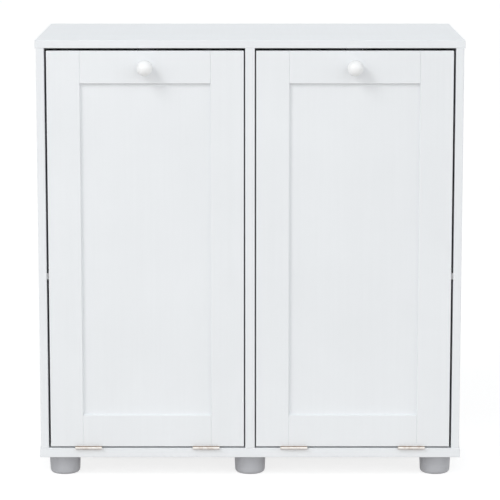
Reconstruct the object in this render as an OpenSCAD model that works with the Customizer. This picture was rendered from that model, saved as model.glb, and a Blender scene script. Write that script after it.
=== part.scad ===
// Two-bay laundry cabinet with tilt-out doors, each carrying a fabric bag on a wire frame.
// Millimetres, +Z up, fronts towards -Y, origin on the floor in the middle of the overall box.

/* [Carcass] */
// Width of the top and base boards
body_w = 800; // [640:10:1000]
// Depth of the top board, front to back
body_d = 400; // [360:5:440]
// Height from the underside of the base board to the top surface
carcass_h = 795; // [720:5:880]
// Thickness of the top board
top_t = 15; // [15:1:22]
// Thickness of the base board
base_t = 18; // [16:1:25]
// Thickness of each side panel
side_t = 15; // [15:1:22]
// Thickness of the centre partition
partition_t = 18; // [16:1:22]
// How far the top and base boards stand out past each side panel
side_lip = 2; // [0:0.5:6]
// Rounding of the edges of every board
edge_r = 1.2; // [0.5:0.1:2]

/* [Back] */
// Thickness of the back panels
back_t = 3; // [3:0.5:5]
// How far the top board stands out past the back panels
back_lip = 1.5; // [1.5:0.5:6]
// Gap between the two back panels
back_seam = 1; // [0.5:0.5:3]
// Radius of a panel pin
pin_r = 0.8; // [0.6:0.1:1.2]
// Length of a panel pin under its head
pin_len = 18; // [12:1:22]
// Number of panel pins along each upright edge
pins_up = 6; // [4:1:10]

/* [Doors] */
// Thickness of the door frames
door_t = 18; // [18:1:22]
// How far the door faces lie behind the front edges of the carcass
door_setback = 1; // [0:0.5:2]
// Gap between a door and its side panel
gap_outer = 4; // [2:0.5:5]
// Gap between a door and the partition
gap_inner = 2.5; // [1.5:0.5:4]
// Gap between a door and the top board
gap_top = 5; // [3:0.5:8]
// Gap between a door and the base board, which holds the two hinge leaves
gap_bottom = 3; // [2.8:0.1:4]
// Width of the stiles
stile_w = 62; // [56:1:80]
// Width of the top and bottom rails
rail_w = 61; // [50:1:80]
// Thickness of the recessed panel
panel_t = 6; // [4:0.5:8]
// Depth of the panel's face behind the frame's face
panel_recess = 6; // [4:0.5:7]
// Depth of the groove in stiles and rails
groove_d = 8; // [6:0.5:10]
// Play of the panel in its groove, each side
panel_play = 0.5; // [0.2:0.1:1]

/* [Knobs] */
// Diameter of the ball
knob_d = 30; // [24:1:36]
// Distance from the door's face to the front of the ball
knob_reach = 34; // [34:1:44]
// Radius of the foot of the knob
knob_foot_r = 8; // [7:0.5:11]
// Radius of the knob screw
knob_screw_r = 2; // [1.5:0.5:2.5]

/* [Hinges] */
// Length of a hinge
hinge_len = 50; // [40:5:60]
// Distance from a door's edge to the middle of its hinge
hinge_inset = 72; // [66:1:90]
// Radius of the knuckles
knuckle_r = 3; // [2.6:0.1:3.4]
// Radius of the hinge pin
hinge_pin_r = 1.5; // [1.2:0.1:1.8]
// Thickness of a hinge leaf
leaf_t = 1.2; // [1:0.1:1.3]
// Depth of a hinge leaf behind its knuckles
leaf_d = 16; // [14:1:17]
// Number of knuckles
knuckles = 5; // [3:2:7]
// Angle to which the doors tilt
tilt_deg = 35; // [25:1:40]

/* [Stays] */
// Height of the stay's stud above the hinge axis
stay_up = 330; // [280:5:380]
// Distance of the stay's stud behind the hinge axis
stay_back = 42; // [40:1:50]
// Thickness of the stay
stay_t = 2; // [1.5:0.5:3]
// Width of the stay's arc band
stay_band = 22; // [20:1:28]
// Gap between the side panel and the stay
stay_gap = 5; // [4.5:0.5:6]
// Radius of the stud's neck in the slot
stud_r = 4; // [3:0.5:5]
// Radius of the stud's flange and of its head
stud_head_r = 7.5; // [7:0.5:9]
// Height of the plate on the side panel that carries the stud
stud_plate_h = 12; // [10:1:14]
// Distance of that plate's front end behind the door's face
stud_plate_in = 4; // [2:1:8]
// Height of the stay's flange on the door
stay_flange_h = 62; // [50:2:80]

/* [Catches] */
// Length of a catch along the top board
catch_len = 46; // [40:1:60]
// Depth of a catch, front to back
catch_d = 14; // [12:1:18]
// Height of a catch under the top board
catch_h = 14; // [12:1:16]
// Thickness of the strike plate
strike_t = 1.2; // [1:0.1:1.5]

/* [Bag frames] */
// Radius of the frame's wire
wire_r = 3.5; // [3:0.25:4.5]
// Distance from a door's edge to the middle of the frame's side bar
bar_inset = 20; // [18:1:26]
// Distance from the back of a door to the middle of the front cross bar
front_bar_gap = 14; // [13:1:20]
// Room between the rear bar and the back panel
rear_room = 54; // [40:1:100]
// Radius of the bends at the rear corners, on the wire's centre line
bend_r = 30; // [24:1:45]
// Length of a side bar in front of its brace
brace_reach = 165; // [120:5:200]
// Drop of a brace from the side bar to its tab on the door
brace_drop = 150; // [110:5:200]
// Radius of a brace
brace_r = 3; // [2.5:0.25:3.5]
// Clearance of the frame's rear corners under the catches as a door tilts
swing_room = 12; // [8:1:30]

/* [Bags] */
// Thickness of the bag's cloth with its seams
bag_t = 2.5; // [1.5:0.25:3]
// Gap between the cloth and the wire
bag_gap = 0.4; // [0.3:0.05:0.8]
// Height of the bag's underside above the base board at rest
bag_lift = 45; // [30:5:90]
// Depth of the hem flap that hangs outside the wire
hem_drop = 34; // [20:1:50]
// How far the lower part of the bag draws in, each side
bag_taper = 8; // [0:1:20]
// How far the bag's floor is drawn in past that
bag_floor_in = 18; // [6:1:30]

/* [Feet] */
// Diameter of a foot
foot_d = 60; // [50:1:64]
// Height of a foot
foot_h = 38; // [34:1:60]
// Length of a foot's boss between the screw's head and the base board
foot_boss_len = 29; // [26:1:31]
// Rounding of a foot's lower edge
foot_round = 7; // [4:0.5:10]
// Amount by which a foot's radius is smaller near the floor than under the board
foot_taper = 1.5; // [0.5:0.5:4]
// Distance from the side panel's outer face to the middle of an end foot
foot_inset_x = 43; // [40:1:70]
// Distance from the front or back edge to the middle of a foot
foot_inset_y = 43; // [40:1:70]

/* [Joints of the carcass] */
// Distance from the front or back edge of an upright to a cam lock
cam_inset = 60; // [45:5:80]
// Distance from the front or back edge of an upright to a dowel
dowel_inset = 100; // [95:5:130]
// Distance from the front or back edge of an upright to a connecting screw
base_screw_inset = 95; // [80:5:130]
// Radius of the dowels
dowel_r = 4; // [3:0.5:4]
// Length of the dowels
dowel_len = 30; // [26:1:36]
// Depth of a dowel in the top or base board
dowel_in = 10; // [8:1:12]
// Radius of the cam locks
cam_r = 7.5; // [7:0.5:8.5]
// Length of the cam locks
cam_len = 12; // [11:0.5:12.5]
// Distance from the top board's underside to the middle of a cam lock
cam_drop = 34; // [28:1:40]
// Radius of the connecting screws' shanks
base_screw_r = 3.5; // [2.5:0.5:3.5]
// Length of the connecting screws
base_screw_len = 50; // [44:1:60]

/* [Hidden] */
$fn = 48;
// Radial clearance of a pin or screw in its hole
hole_play = 0.05;
// Clearance between faces that pass each other
run = 0.3;

side_out = body_w / 2 - side_lip;
side_in = side_out - side_t;
half_part = partition_t / 2;
face_span = body_d + door_setback - knob_reach;
front_y = -face_span / 2;
back_y = front_y + body_d;
board_back_y = back_y - back_lip - back_t;
board_d = board_back_y - front_y;
base_top = foot_h + base_t;
top_z = foot_h + carcass_h;
bay_top = top_z - top_t;
bay_h = bay_top - base_top;

door_w = side_in - half_part - gap_outer - gap_inner;
door_h = bay_h - gap_top - gap_bottom;
door_x = half_part + gap_inner + door_w / 2;
door_face_y = front_y + door_setback;
door_rear_y = door_face_y + door_t;
door_z = base_top + gap_bottom;
panel_y = door_face_y + panel_recess;
panel_w = door_w - 2 * stile_w + 2 * (groove_d - panel_play);
panel_h = door_h - 2 * rail_w + 2 * (groove_d - panel_play);
panel_z = door_z + rail_w - groove_d + panel_play;
top_rail_z = door_z + door_h - rail_w;
knob_z = top_rail_z + rail_w / 2;
knob_bore = knob_reach - knob_d / 2;

axis_y = front_y - knuckle_r - 0.1;
axis_z = base_top + gap_bottom / 2;
knuckle_step = hinge_len / knuckles;
hinge_x = door_w / 2 - hinge_inset;
leaf_y = front_y + run;
leaf_hole_y = leaf_y + leaf_d * 0.6;
leaf_hole_step = hinge_len * 0.34;
leaf_screw_r = 1.5;
leaf_screw_len = 14;
leaf_head_r = 3.2;

stay_r = sqrt(stay_up * stay_up + stay_back * stay_back);
stay_start = atan(stay_back / stay_up);
slot_r = stud_r + run;
stay_x = side_in - stay_gap - stay_t;
stay_z = axis_z + stay_up;
stay_u = door_rear_y - axis_y;
stay_flange_w = 22;
stay_gusset = stay_back - stay_u + slot_r;
stay_screw_step = stay_flange_h - 22;
stay_tip = stay_start + tilt_deg + 2.4;
// The round ends are this much smaller than the arcs they close, so that no two curves are tangent.
end_step = 0.03;
stud_thread_len = 10;
stud_y = axis_y + stay_back;
// The plate stays clear of the door's edge, which passes it in the outer gap.
stud_plate_t = min(gap_outer - 0.6, stay_gap - 1.5);
stud_plate_y = door_face_y + stud_plate_in;
stud_plate_len = stud_y + stud_head_r + 1.5 - stud_plate_y;
stud_peg_r = 1.5;
stud_peg_len = 6;
stud_peg_y = stud_plate_y + stud_plate_h / 2;
stud_head_t = 2.5;

strike_h = 14;
strike_w = 38;
strike_z = door_z + door_h - strike_h - 2;
pole_out = 0.7;
pole_t = 1.2;
catch_y = door_rear_y + strike_t + run + pole_out;
catch_ear = 9;
catch_ear_t = 3;
catch_screw_x = catch_len / 2 - catch_ear / 2;
magnet_w = 20;
magnet_h = 8;
magnet_d = 9;
magnet_z = bay_top - catch_h / 2 - magnet_h / 2 + hole_play;

tab_w = 20;
tab_h = 30;
tab_t = 2;
bar_x = door_w / 2 - bar_inset;
front_bar_y = door_rear_y + front_bar_gap;
rear_bar_y = board_back_y - rear_room;
swing_r = bay_top - axis_z - catch_h - swing_room;
swing_reach = rear_bar_y - axis_y + wire_r + bag_gap + bag_t;
// The front cross bar is a thinner wire than the side bars that it is welded between.
cross_r = wire_r - 0.5;
rim_z = axis_z + sqrt(swing_r * swing_r - swing_reach * swing_reach);
ring_z = rim_z - wire_r - bag_gap - bag_t;
brace_y = door_rear_y + brace_reach;
brace_z = ring_z - brace_drop;
tab_screw_r = 1.75;
tab_screw_len = 14;
tab_head_r = 3.4;
tab_head_h = 2.2;
upper_tab_z = ring_z - tab_h / 2 + wire_r;
lower_tab_z = brace_z - tab_h / 2 + brace_r;
tab_screw_drop = 10;

bag_in = wire_r + bag_gap;
bag_half_x = bar_x - bag_in;
bag_front_y = front_bar_y + bag_in;
bag_rear_y = rear_bar_y - bag_in;
bag_corner = bend_r - bag_in;
bag_z = base_top + bag_lift;
bag_knee = 0.3;

foot_x = side_out - foot_inset_x;
foot_front_y = front_y + foot_inset_y;
foot_rear_y = board_back_y - foot_inset_y;
foot_wall = 4;
foot_boss_r = 11;
foot_floor = 12;
foot_screw_r = 2.5;
foot_screw_head_r = 5;
foot_screw_seat = foot_h - foot_boss_len;
foot_screw_len = foot_boss_len + base_t - 4;

cam_y = [front_y + cam_inset, board_back_y - cam_inset];
top_dowel_y = [front_y + dowel_inset, board_back_y - dowel_inset];
base_screw_y = [front_y + base_screw_inset, board_back_y - base_screw_inset];
base_dowel_y = front_y + board_d / 2;
upright_x = [-side_out + side_t / 2, 0, side_out - side_t / 2];
cam_bolt_r = 3.5;
cam_bolt_in = 11;
base_head_r = 5;
base_head_h = 4;
back_h = carcass_h - top_t;
back_w = side_out - back_seam / 2;

// Colours of the finishes
white_paint = [0.92, 0.93, 0.94];
gloss_white = [0.97, 0.97, 0.96];
nickel = [0.72, 0.70, 0.66];
zinc = [0.78, 0.79, 0.80];
foot_grey = [0.46, 0.465, 0.485];
black = [0.05, 0.05, 0.055];
beech = [0.80, 0.66, 0.48];
canvas = [0.84, 0.80, 0.72];
magnet_black = [0.15, 0.15, 0.16];

// A rectangle with round corners, from the origin.
module round_rect(w, d, r) {
  translate([r, 0]) square([w - 2 * r, d]);
  translate([0, r]) square([w, d - 2 * r]);
  for (x = [r, w - r], y = [r, d - r])
    translate([x, y]) circle(r);
}

// A board with all its edges rounded, from the origin.
module board(size, r = edge_r) {
  intersection() {
    linear_extrude(size.z) round_rect(size.x, size.y, r);
    translate([0, size.y, 0])
      rotate([90, 0, 0]) linear_extrude(size.y) round_rect(size.x, size.z, r);
    rotate([90, 0, 90]) linear_extrude(size.x) round_rect(size.y, size.z, r);
  }
}

// A straight round bar from one point to another.
module bar(p, q, r) {
  v = q - p;
  length = norm(v);
  translate(p)
    rotate([0, acos(v.z / length), atan2(v.y, v.x)])
      cylinder(r = r, h = length);
}

// A countersunk wood screw: its head's face at the origin, its shank along +Z.
module countersunk_screw(r, head_r, len) {
  cylinder(r1 = head_r, r2 = r, h = head_r - r);
  cylinder(r = r, h = len - 2);
  translate([0, 0, len - 2]) cylinder(r1 = r, r2 = 0.4, h = 2);
}

// A pan-head screw: the seat of its head at the origin, its shank along +Z.
module pan_screw(r, head_r, head_h, len) {
  difference() {
    translate([0, 0, -head_h]) cylinder(r1 = head_r - 1, r2 = head_r, h = head_h);
    translate([-head_r * 0.7, -0.4, -head_h - 1]) cube([head_r * 1.4, 0.8, 1.8]);
    translate([-0.4, -head_r * 0.7, -head_h - 1]) cube([0.8, head_r * 1.4, 1.8]);
  }
  cylinder(r = r, h = len - 2);
  translate([0, 0, len - 2]) cylinder(r1 = r, r2 = 0.4, h = 2);
}

// Carcass joints. Each works on one upright, whose middle is at x.
module dowel_bodies(x, play = 0) {
  for (y = top_dowel_y)
    translate([x, y, bay_top - dowel_len + dowel_in - play])
      cylinder(r = dowel_r + play, h = dowel_len + 2 * play);
  translate([x, base_dowel_y, base_top - dowel_in - play])
    cylinder(r = dowel_r + play, h = dowel_len + 2 * play);
}

module base_screw_bodies(x, play = 0) {
  for (y = base_screw_y)
    translate([x, y, foot_h - play]) {
      cylinder(r = base_screw_r + play, h = base_screw_len + play);
      cylinder(r = base_head_r + play, h = base_head_h + play);
    }
}

module cam_bolt_bodies(x, play = 0) {
  for (y = cam_y)
    translate([x, y, bay_top - cam_drop + 2])
      cylinder(r = cam_bolt_r + play, h = cam_drop + cam_bolt_in - 2 + play);
}

// The cam's open face lies flush with the upright's face at x, and dir says which way that face looks.
module cam_bodies(x, dir, play = 0) {
  for (y = cam_y)
    translate([x + (dir > 0 ? -cam_len - play : 0), y, bay_top - cam_drop])
      rotate([0, 90, 0]) cylinder(r = cam_r + play, h = cam_len + play);
}

module upright(x0, t, cam_face, dir) {
  difference() {
    translate([x0, front_y, base_top]) board([t, board_d, bay_h]);
    dowel_bodies(x0 + t / 2, hole_play);
    base_screw_bodies(x0 + t / 2, hole_play);
    cam_bolt_bodies(x0 + t / 2, hole_play);
    cam_bodies(cam_face, dir, hole_play);
    back_pin_bodies(hole_play);
  }
}

// Panel pins along the uprights and the base board, their heads on the back panels.
function pin_z(i) = base_top + 30 + i * (bay_h - 60) / (pins_up - 1);
module back_pin_bodies(play = 0) {
  pin_x = [-side_out + side_t / 2, -half_part / 2 - 1, half_part / 2 + 1, side_out - side_t / 2];
  for (x = pin_x, i = [0 : pins_up - 1])
    back_pin(x, pin_z(i), play);
  for (side = [-1, 1], k = [0.25, 0.5, 0.75])
    back_pin(side * side_out * k, foot_h + base_t / 2, play);
}

module back_pin(x, z, play) {
  translate([x, board_back_y + back_t, z])
    rotate([90, 0, 0]) {
      translate([0, 0, -play]) cylinder(r = pin_r + play, h = pin_len + 2 * play, $fn = 24);
      if (play == 0) translate([0, 0, -0.8]) cylinder(r = pin_r * 2.2, h = 0.8, $fn = 24);
    }
}

module top_board() {
  color(white_paint) difference() {
    translate([-body_w / 2, front_y, bay_top]) board([body_w, body_d, top_t]);
    for (x = upright_x) {
      dowel_bodies(x, hole_play);
      cam_bolt_bodies(x, hole_play);
    }
    catch_screw_bodies(hole_play);
  }
}

module base_board() {
  color(white_paint) difference() {
    translate([-body_w / 2, front_y, foot_h]) board([body_w, board_d, base_t]);
    for (x = upright_x) {
      dowel_bodies(x, hole_play);
      base_screw_bodies(x, hole_play);
    }
    foot_screw_bodies(hole_play);
    base_leaf_screw_bodies(hole_play);
    back_pin_bodies(hole_play);
  }
}

module left_side() {
  color(white_paint) difference() {
    upright(-side_out, side_t, -side_in, 1);
    stud_thread(-1, hole_play);
    stud_peg(-1, hole_play);
  }
}

module right_side() {
  color(white_paint) difference() {
    upright(side_in, side_t, side_in, -1);
    stud_thread(1, hole_play);
    stud_peg(1, hole_play);
  }
}

module partition() {
  color(white_paint) upright(-half_part, partition_t, -half_part, -1);
}

module back_panel(side) {
  x0 = side < 0 ? -side_out : back_seam / 2;
  color([0.90, 0.90, 0.89]) difference() {
    translate([x0, board_back_y, foot_h]) cube([back_w, back_t, back_h]);
    back_pin_bodies(hole_play);
  }
}
module left_back_panel() back_panel(-1);
module right_back_panel() back_panel(1);

module panel_pins() color(zinc) back_pin_bodies();
module dowels() color(beech) for (x = upright_x) dowel_bodies(x);
module cam_bolts() color(zinc) for (x = upright_x) cam_bolt_bodies(x);
module base_screws() color(zinc) for (x = upright_x) difference() {
  base_screw_bodies(x);
  for (y = base_screw_y)
    translate([x, y, foot_h - 0.1]) cylinder(r = 2, h = 3, $fn = 6);
}

// A cam lock has a cross slot in its face and a hole for the bolt's end.
module cam_set(x, face, dir) {
  difference() {
    cam_bodies(face, dir);
    cam_bolt_bodies(x, 0.2);
    for (y = cam_y) {
      translate([face - 1, y - 4, bay_top - cam_drop - 0.6]) cube([2, 8, 1.2]);
      translate([face - 1, y - 0.6, bay_top - cam_drop - 4]) cube([2, 1.2, 8]);
    }
  }
}
module cam_locks() {
  color(zinc) {
    cam_set(upright_x[0], -side_in, 1);
    cam_set(upright_x[1], -half_part, -1);
    cam_set(upright_x[2], side_in, -1);
  }
}

// A hollow plastic foot, open under the board, with a boss for its screw.
module foot(x, y) {
  r = foot_d / 2;
  low_r = r - foot_taper;
  color(foot_grey) translate([x, y, 0]) difference() {
    rotate_extrude() union() {
      polygon([[0, foot_round], [low_r, foot_round], [r, foot_h], [0, foot_h]]);
      square([low_r - foot_round, foot_round]);
      translate([low_r - foot_round, foot_round]) circle(foot_round);
    }
    translate([0, 0, foot_floor]) difference() {
      cylinder(r = r - foot_wall, h = foot_h);
      cylinder(r = foot_boss_r, h = foot_h);
    }
    cylinder(r = foot_screw_r + 0.3, h = foot_h + 1);
    translate([0, 0, -1]) cylinder(r = foot_screw_head_r + 1, h = foot_screw_seat + 1);
  }
}
module front_left_foot() foot(-foot_x, foot_front_y);
module front_middle_foot() foot(0, foot_front_y);
module front_right_foot() foot(foot_x, foot_front_y);
module rear_left_foot() foot(-foot_x, foot_rear_y);
module rear_middle_foot() foot(0, foot_rear_y);
module rear_right_foot() foot(foot_x, foot_rear_y);

module foot_screw_bodies(play = 0) {
  for (x = [-foot_x, 0, foot_x], y = [foot_front_y, foot_rear_y])
    translate([x, y, foot_screw_seat])
      if (play == 0) pan_screw(foot_screw_r, foot_screw_head_r, 3, foot_screw_len);
      else cylinder(r = foot_screw_r + play, h = foot_screw_len + play);
}
module foot_screws() color(zinc) foot_screw_bodies();

// Magnetic catches under the top board and their strike plates on the doors.
module catch_body(side) {
  color(black) translate([side * door_x, catch_y, bay_top - catch_h]) difference() {
    union() {
      translate([-catch_len / 2 + catch_ear, 0, 0]) board([catch_len - 2 * catch_ear, catch_d, catch_h], 1);
      translate([-catch_len / 2, 2, catch_h - catch_ear_t]) cube([catch_len, catch_d - 3, catch_ear_t]);
    }
    translate([-magnet_w / 2, -1, (catch_h - magnet_h) / 2]) cube([magnet_w, magnet_d + 1, magnet_h]);
    for (s = [-1, 1])
      translate([s * catch_screw_x, catch_d / 2 + 0.5, -1])
        cylinder(r = tab_screw_r + hole_play, h = 2 * catch_h);
  }
}
module left_catch() catch_body(-1);
module right_catch() catch_body(1);

// Each magnet lies between two steel pole plates that reach towards the strike plate.
module catch_magnets() {
  color(magnet_black)
    for (side = [-1, 1])
      translate([side * door_x - magnet_w / 2 + hole_play, catch_y - pole_out, magnet_z]) {
        inner_w = magnet_w - 2 * hole_play;
        inner_h = magnet_h - 2 * hole_play;
        for (z = [0, inner_h - pole_t])
          translate([0, 0, z]) cube([inner_w, magnet_d + 0.6, pole_t]);
        translate([0.5, 1.5, pole_t]) cube([inner_w - 1, magnet_d - 1.5, inner_h - 2 * pole_t]);
      }
}

module catch_screw_bodies(play = 0) {
  for (side = [-1, 1], s = [-1, 1])
    translate([side * door_x + s * catch_screw_x, catch_y + catch_d / 2 + 0.5, bay_top - catch_ear_t])
      if (play == 0) pan_screw(tab_screw_r, tab_head_r, tab_head_h, catch_ear_t + 10);
      else cylinder(r = tab_screw_r + play, h = catch_ear_t + 10 + play);
}
module catch_screws() color(black) catch_screw_bodies();

// Hinges. The base leaf holds the odd knuckles and the door leaf the even ones.
module leaf(x, first, z0) {
  color(nickel) difference() {
    union() {
      translate([x - hinge_len / 2, leaf_y, z0]) cube([hinge_len, leaf_d, leaf_t]);
      for (k = [first : 2 : knuckles - 1]) {
        x0 = x - hinge_len / 2 + k * knuckle_step;
        lo = k == 0 ? 0 : run / 2;
        hi = k == knuckles - 1 ? 0 : run / 2;
        len = knuckle_step - lo - hi;
        translate([x0 + lo, axis_y, axis_z]) rotate([0, 90, 0]) cylinder(r = knuckle_r, h = len);
        translate([x0 + lo, axis_y, z0]) cube([len, leaf_y - axis_y + 1, leaf_t]);
      }
    }
    translate([x - hinge_len, axis_y, axis_z])
      rotate([0, 90, 0]) cylinder(r = hinge_pin_r + hole_play, h = 2 * hinge_len);
    if (first == 0) at_leaf_holes(x, base_top + leaf_t, 180) leaf_hole();
    else at_leaf_holes(x, door_z - leaf_t, 0) leaf_hole();
  }
}
module at_leaf_holes(x, z, turn) {
  for (s = [-1, 0, 1])
    translate([x + s * leaf_hole_step, leaf_hole_y, z]) rotate([turn, 0, 0]) children();
}
module leaf_hole() {
  head_h = leaf_head_r - leaf_screw_r;
  translate([0, 0, -0.01])
    cylinder(r1 = leaf_head_r + hole_play, r2 = leaf_screw_r + hole_play, h = head_h);
  cylinder(r = leaf_screw_r + hole_play, h = leaf_t + 1);
}
function hinge_places() = [-door_x - hinge_x, -door_x + hinge_x, door_x - hinge_x, door_x + hinge_x];

module left_outer_base_leaf() leaf(hinge_places()[0], 0, base_top);
module left_inner_base_leaf() leaf(hinge_places()[1], 0, base_top);
module right_inner_base_leaf() leaf(hinge_places()[2], 0, base_top);
module right_outer_base_leaf() leaf(hinge_places()[3], 0, base_top);

module hinge_pins() {
  color(nickel)
    for (x = hinge_places())
      translate([x - hinge_len / 2, axis_y, axis_z]) rotate([0, 90, 0]) {
        cylinder(r = hinge_pin_r, h = hinge_len);
        translate([0, 0, -0.8]) cylinder(r1 = hinge_pin_r, r2 = hinge_pin_r + 0.7, h = 0.8);
        translate([0, 0, hinge_len]) cylinder(r1 = hinge_pin_r + 0.7, r2 = hinge_pin_r, h = 0.8);
      }
}

module leaf_screw(play) {
  if (play == 0) countersunk_screw(leaf_screw_r, leaf_head_r, leaf_screw_len);
  else cylinder(r = leaf_screw_r + play, h = leaf_screw_len + play);
  if (play > 0) cylinder(r1 = leaf_head_r + play, r2 = leaf_screw_r, h = leaf_head_r - leaf_screw_r + play);
}
module base_leaf_screw_bodies(play = 0) {
  for (x = hinge_places())
    at_leaf_holes(x, base_top + leaf_t, 180) leaf_screw(play);
}
module base_leaf_screws() color(nickel) base_leaf_screw_bodies();
module door_leaf_screw_bodies(side, play = 0) {
  for (s = [-1, 1])
    at_leaf_holes(side * door_x + s * hinge_x, door_z - leaf_t, 0) leaf_screw(play);
}

module door_leaves(side) {
  for (s = [-1, 1])
    leaf(side * door_x + s * hinge_x, 1, door_z - leaf_t);
}
module left_door_leaves() door_leaves(-1);
module right_door_leaves() door_leaves(1);

// Stays. side is -1 for the left bay and 1 for the right bay.
module stud_thread(side, play = 0) {
  translate([side * side_in, stud_y, stay_z])
    rotate([0, side * 90, 0]) cylinder(r = stud_r - 1 + play, h = stud_thread_len + play);
}
module stud_peg(side, play = 0) {
  translate([side * side_in, stud_peg_y, stay_z])
    rotate([0, side * 90, 0]) cylinder(r = stud_peg_r + play, h = stud_peg_len + play);
}
module stay_stud(side) {
  color(zinc) {
    stud_thread(side);
    stud_peg(side);
    translate([side > 0 ? side_in - stud_plate_t : -side_in, stud_plate_y, stay_z - stud_plate_h / 2])
      cube([stud_plate_t, stud_plate_len, stud_plate_h]);
    translate([side * side_in, stud_y, stay_z])
      rotate([0, -side * 90, 0]) {
        cylinder(r = stud_head_r, h = stay_gap - run);
        cylinder(r = stud_r, h = stay_gap + stay_t + run + stud_head_t);
        translate([0, 0, stay_gap + stay_t + run]) difference() {
          cylinder(r = stud_head_r, h = stud_head_t);
          translate([-stud_head_r, -0.6, stud_head_t - 1]) cube([2 * stud_head_r, 1.2, 2]);
        }
      }
  }
}
module left_stay_stud() stay_stud(-1);
module right_stay_stud() stay_stud(1);

// The stay's outline in the plane of its swing, from the hinge axis: u runs back, v runs up.
module stay_outline() {
  difference() {
    union() {
      intersection() {
        difference() {
          circle(stay_r + stay_band / 2, $fn = 180);
          circle(stay_r - stay_band / 2, $fn = 180);
        }
        polygon([
          [stay_u, 0],
          [stay_u, 2 * stay_r],
          [2 * stay_r * sin(stay_tip / 2), 2 * stay_r],
          2 * stay_r * [sin(stay_tip), cos(stay_tip)],
          [stay_u, stay_u / tan(stay_tip)]
        ]);
      }
      at_slot(stay_tip) circle(stay_band / 2 - end_step);
      translate([stay_u, stay_up - stay_flange_h / 2]) square([stay_gusset, stay_flange_h]);
    }
    intersection() {
      difference() {
        circle(stay_r + slot_r, $fn = 180);
        circle(stay_r - slot_r, $fn = 180);
      }
      polygon([
        [0, 0],
        2 * stay_r * [sin(stay_start), cos(stay_start)],
        2 * stay_r * [sin(stay_start + tilt_deg), cos(stay_start + tilt_deg)]
      ]);
    }
    at_slot(stay_start) circle(slot_r - end_step);
    at_slot(stay_start + tilt_deg) circle(slot_r - end_step);
  }
}
module at_slot(angle) translate(stay_r * [sin(angle), cos(angle)]) children();

module stay(side) {
  x0 = side < 0 ? -stay_x - stay_t : stay_x;
  flange_x = side < 0 ? -stay_x - stay_t : stay_x + stay_t - stay_flange_w;
  color(zinc) difference() {
    union() {
      translate([x0, axis_y, axis_z]) rotate([90, 0, 90]) linear_extrude(stay_t) stay_outline();
      translate([flange_x, door_rear_y, stay_z - stay_flange_h / 2])
        cube([stay_flange_w, stay_t, stay_flange_h]);
    }
    stay_screw_bodies(side, hole_play);
  }
}
module left_stay() stay(-1);
module right_stay() stay(1);

module stay_screw_bodies(side, play = 0) {
  x = side * (stay_x + stay_t - stay_flange_w / 2 - 1);
  for (s = [-1, 1])
    translate([x, door_rear_y + stay_t, stay_z + s * stay_screw_step / 2]) tab_screw(play);
}

// A pan-head screw into the back of a door, its head on a plate that lies against the door.
module tab_screw(play) {
  rotate([90, 0, 0])
    if (play == 0) pan_screw(tab_screw_r, tab_head_r, tab_head_h, tab_screw_len);
    else translate([0, 0, -0.1]) cylinder(r = tab_screw_r + play, h = tab_screw_len + play + 0.1);
}

// Door frames and panels
module door_holes(side) {
  door_leaf_screw_bodies(side, hole_play);
  stay_screw_bodies(side, hole_play);
  frame_screw_bodies(side, hole_play);
}

module stile(side, end) {
  x0 = side * door_x + (end > 0 ? door_w / 2 - stile_w : -door_w / 2);
  groove_x = side * door_x + end * (door_w / 2 - stile_w) + (end > 0 ? -1 : -groove_d);
  color(white_paint) difference() {
    translate([x0, door_face_y, door_z]) board([stile_w, door_t, door_h]);
    translate([groove_x, panel_y, door_z - 1]) cube([groove_d + 1, panel_t, door_h + 2]);
    door_holes(side);
  }
}
module left_door_outer_stile() stile(-1, -1);
module left_door_inner_stile() stile(-1, 1);
module right_door_outer_stile() stile(1, 1);
module right_door_inner_stile() stile(1, -1);

// A rail with a stub tenon at each end and a groove along its inner edge.
module rail(side, z0, groove_z) {
  span = door_w - 2 * stile_w;
  tenon_x = side * door_x - span / 2 - groove_d;
  color(white_paint) difference() {
    union() {
      translate([side * door_x - span / 2, door_face_y, z0]) board([span, door_t, rail_w]);
      translate([tenon_x, panel_y, z0]) cube([span + 2 * groove_d, panel_t, rail_w]);
    }
    translate([tenon_x - 1, panel_y, groove_z]) cube([span + 2 * groove_d + 2, panel_t, groove_d]);
    door_holes(side);
    strike_screw_bodies(side, hole_play);
    knob_screw_bodies(side, 0.3);
  }
}
module left_door_top_rail() rail(-1, top_rail_z, top_rail_z);
module right_door_top_rail() rail(1, top_rail_z, top_rail_z);
module left_door_bottom_rail() rail(-1, door_z, door_z + rail_w - groove_d);
module right_door_bottom_rail() rail(1, door_z, door_z + rail_w - groove_d);

module door_panel(side) {
  color(white_paint)
    translate([side * door_x - panel_w / 2, panel_y, panel_z]) cube([panel_w, panel_t, panel_h]);
}
module left_door_panel() door_panel(-1);
module right_door_panel() door_panel(1);

// A ball knob on a waisted foot, turned about its own axis.
module knob(side) {
  r = knob_d / 2;
  color(gloss_white) translate([side * door_x, door_face_y, knob_z]) rotate([90, 0, 0]) difference() {
    rotate_extrude($fn = 72) union() {
      intersection() {
        translate([0, knob_reach - r]) circle(r);
        square([r, knob_reach]);
      }
      square([knob_foot_r, 2]);
      difference() {
        square([knob_foot_r, knob_reach - r]);
        translate([knob_foot_r + 3, 6]) circle(5);
        translate([knob_foot_r - 2, 6]) square([4, knob_reach]);
      }
    }
    translate([0, 0, -1]) cylinder(r = knob_screw_r + hole_play, h = knob_bore + 1);
  }
}
module left_knob() knob(-1);
module right_knob() knob(1);

module knob_screw_bodies(side, play = 0) {
  translate([side * door_x, door_rear_y, knob_z]) rotate([90, 0, 0])
    if (play == 0) pan_screw(knob_screw_r, 4, 2.5, door_t + knob_bore - 1);
    else translate([0, 0, -1]) cylinder(r = knob_screw_r + play, h = door_t + 2);
}
module left_knob_screw() color(zinc) knob_screw_bodies(-1);
module right_knob_screw() color(zinc) knob_screw_bodies(1);

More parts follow.
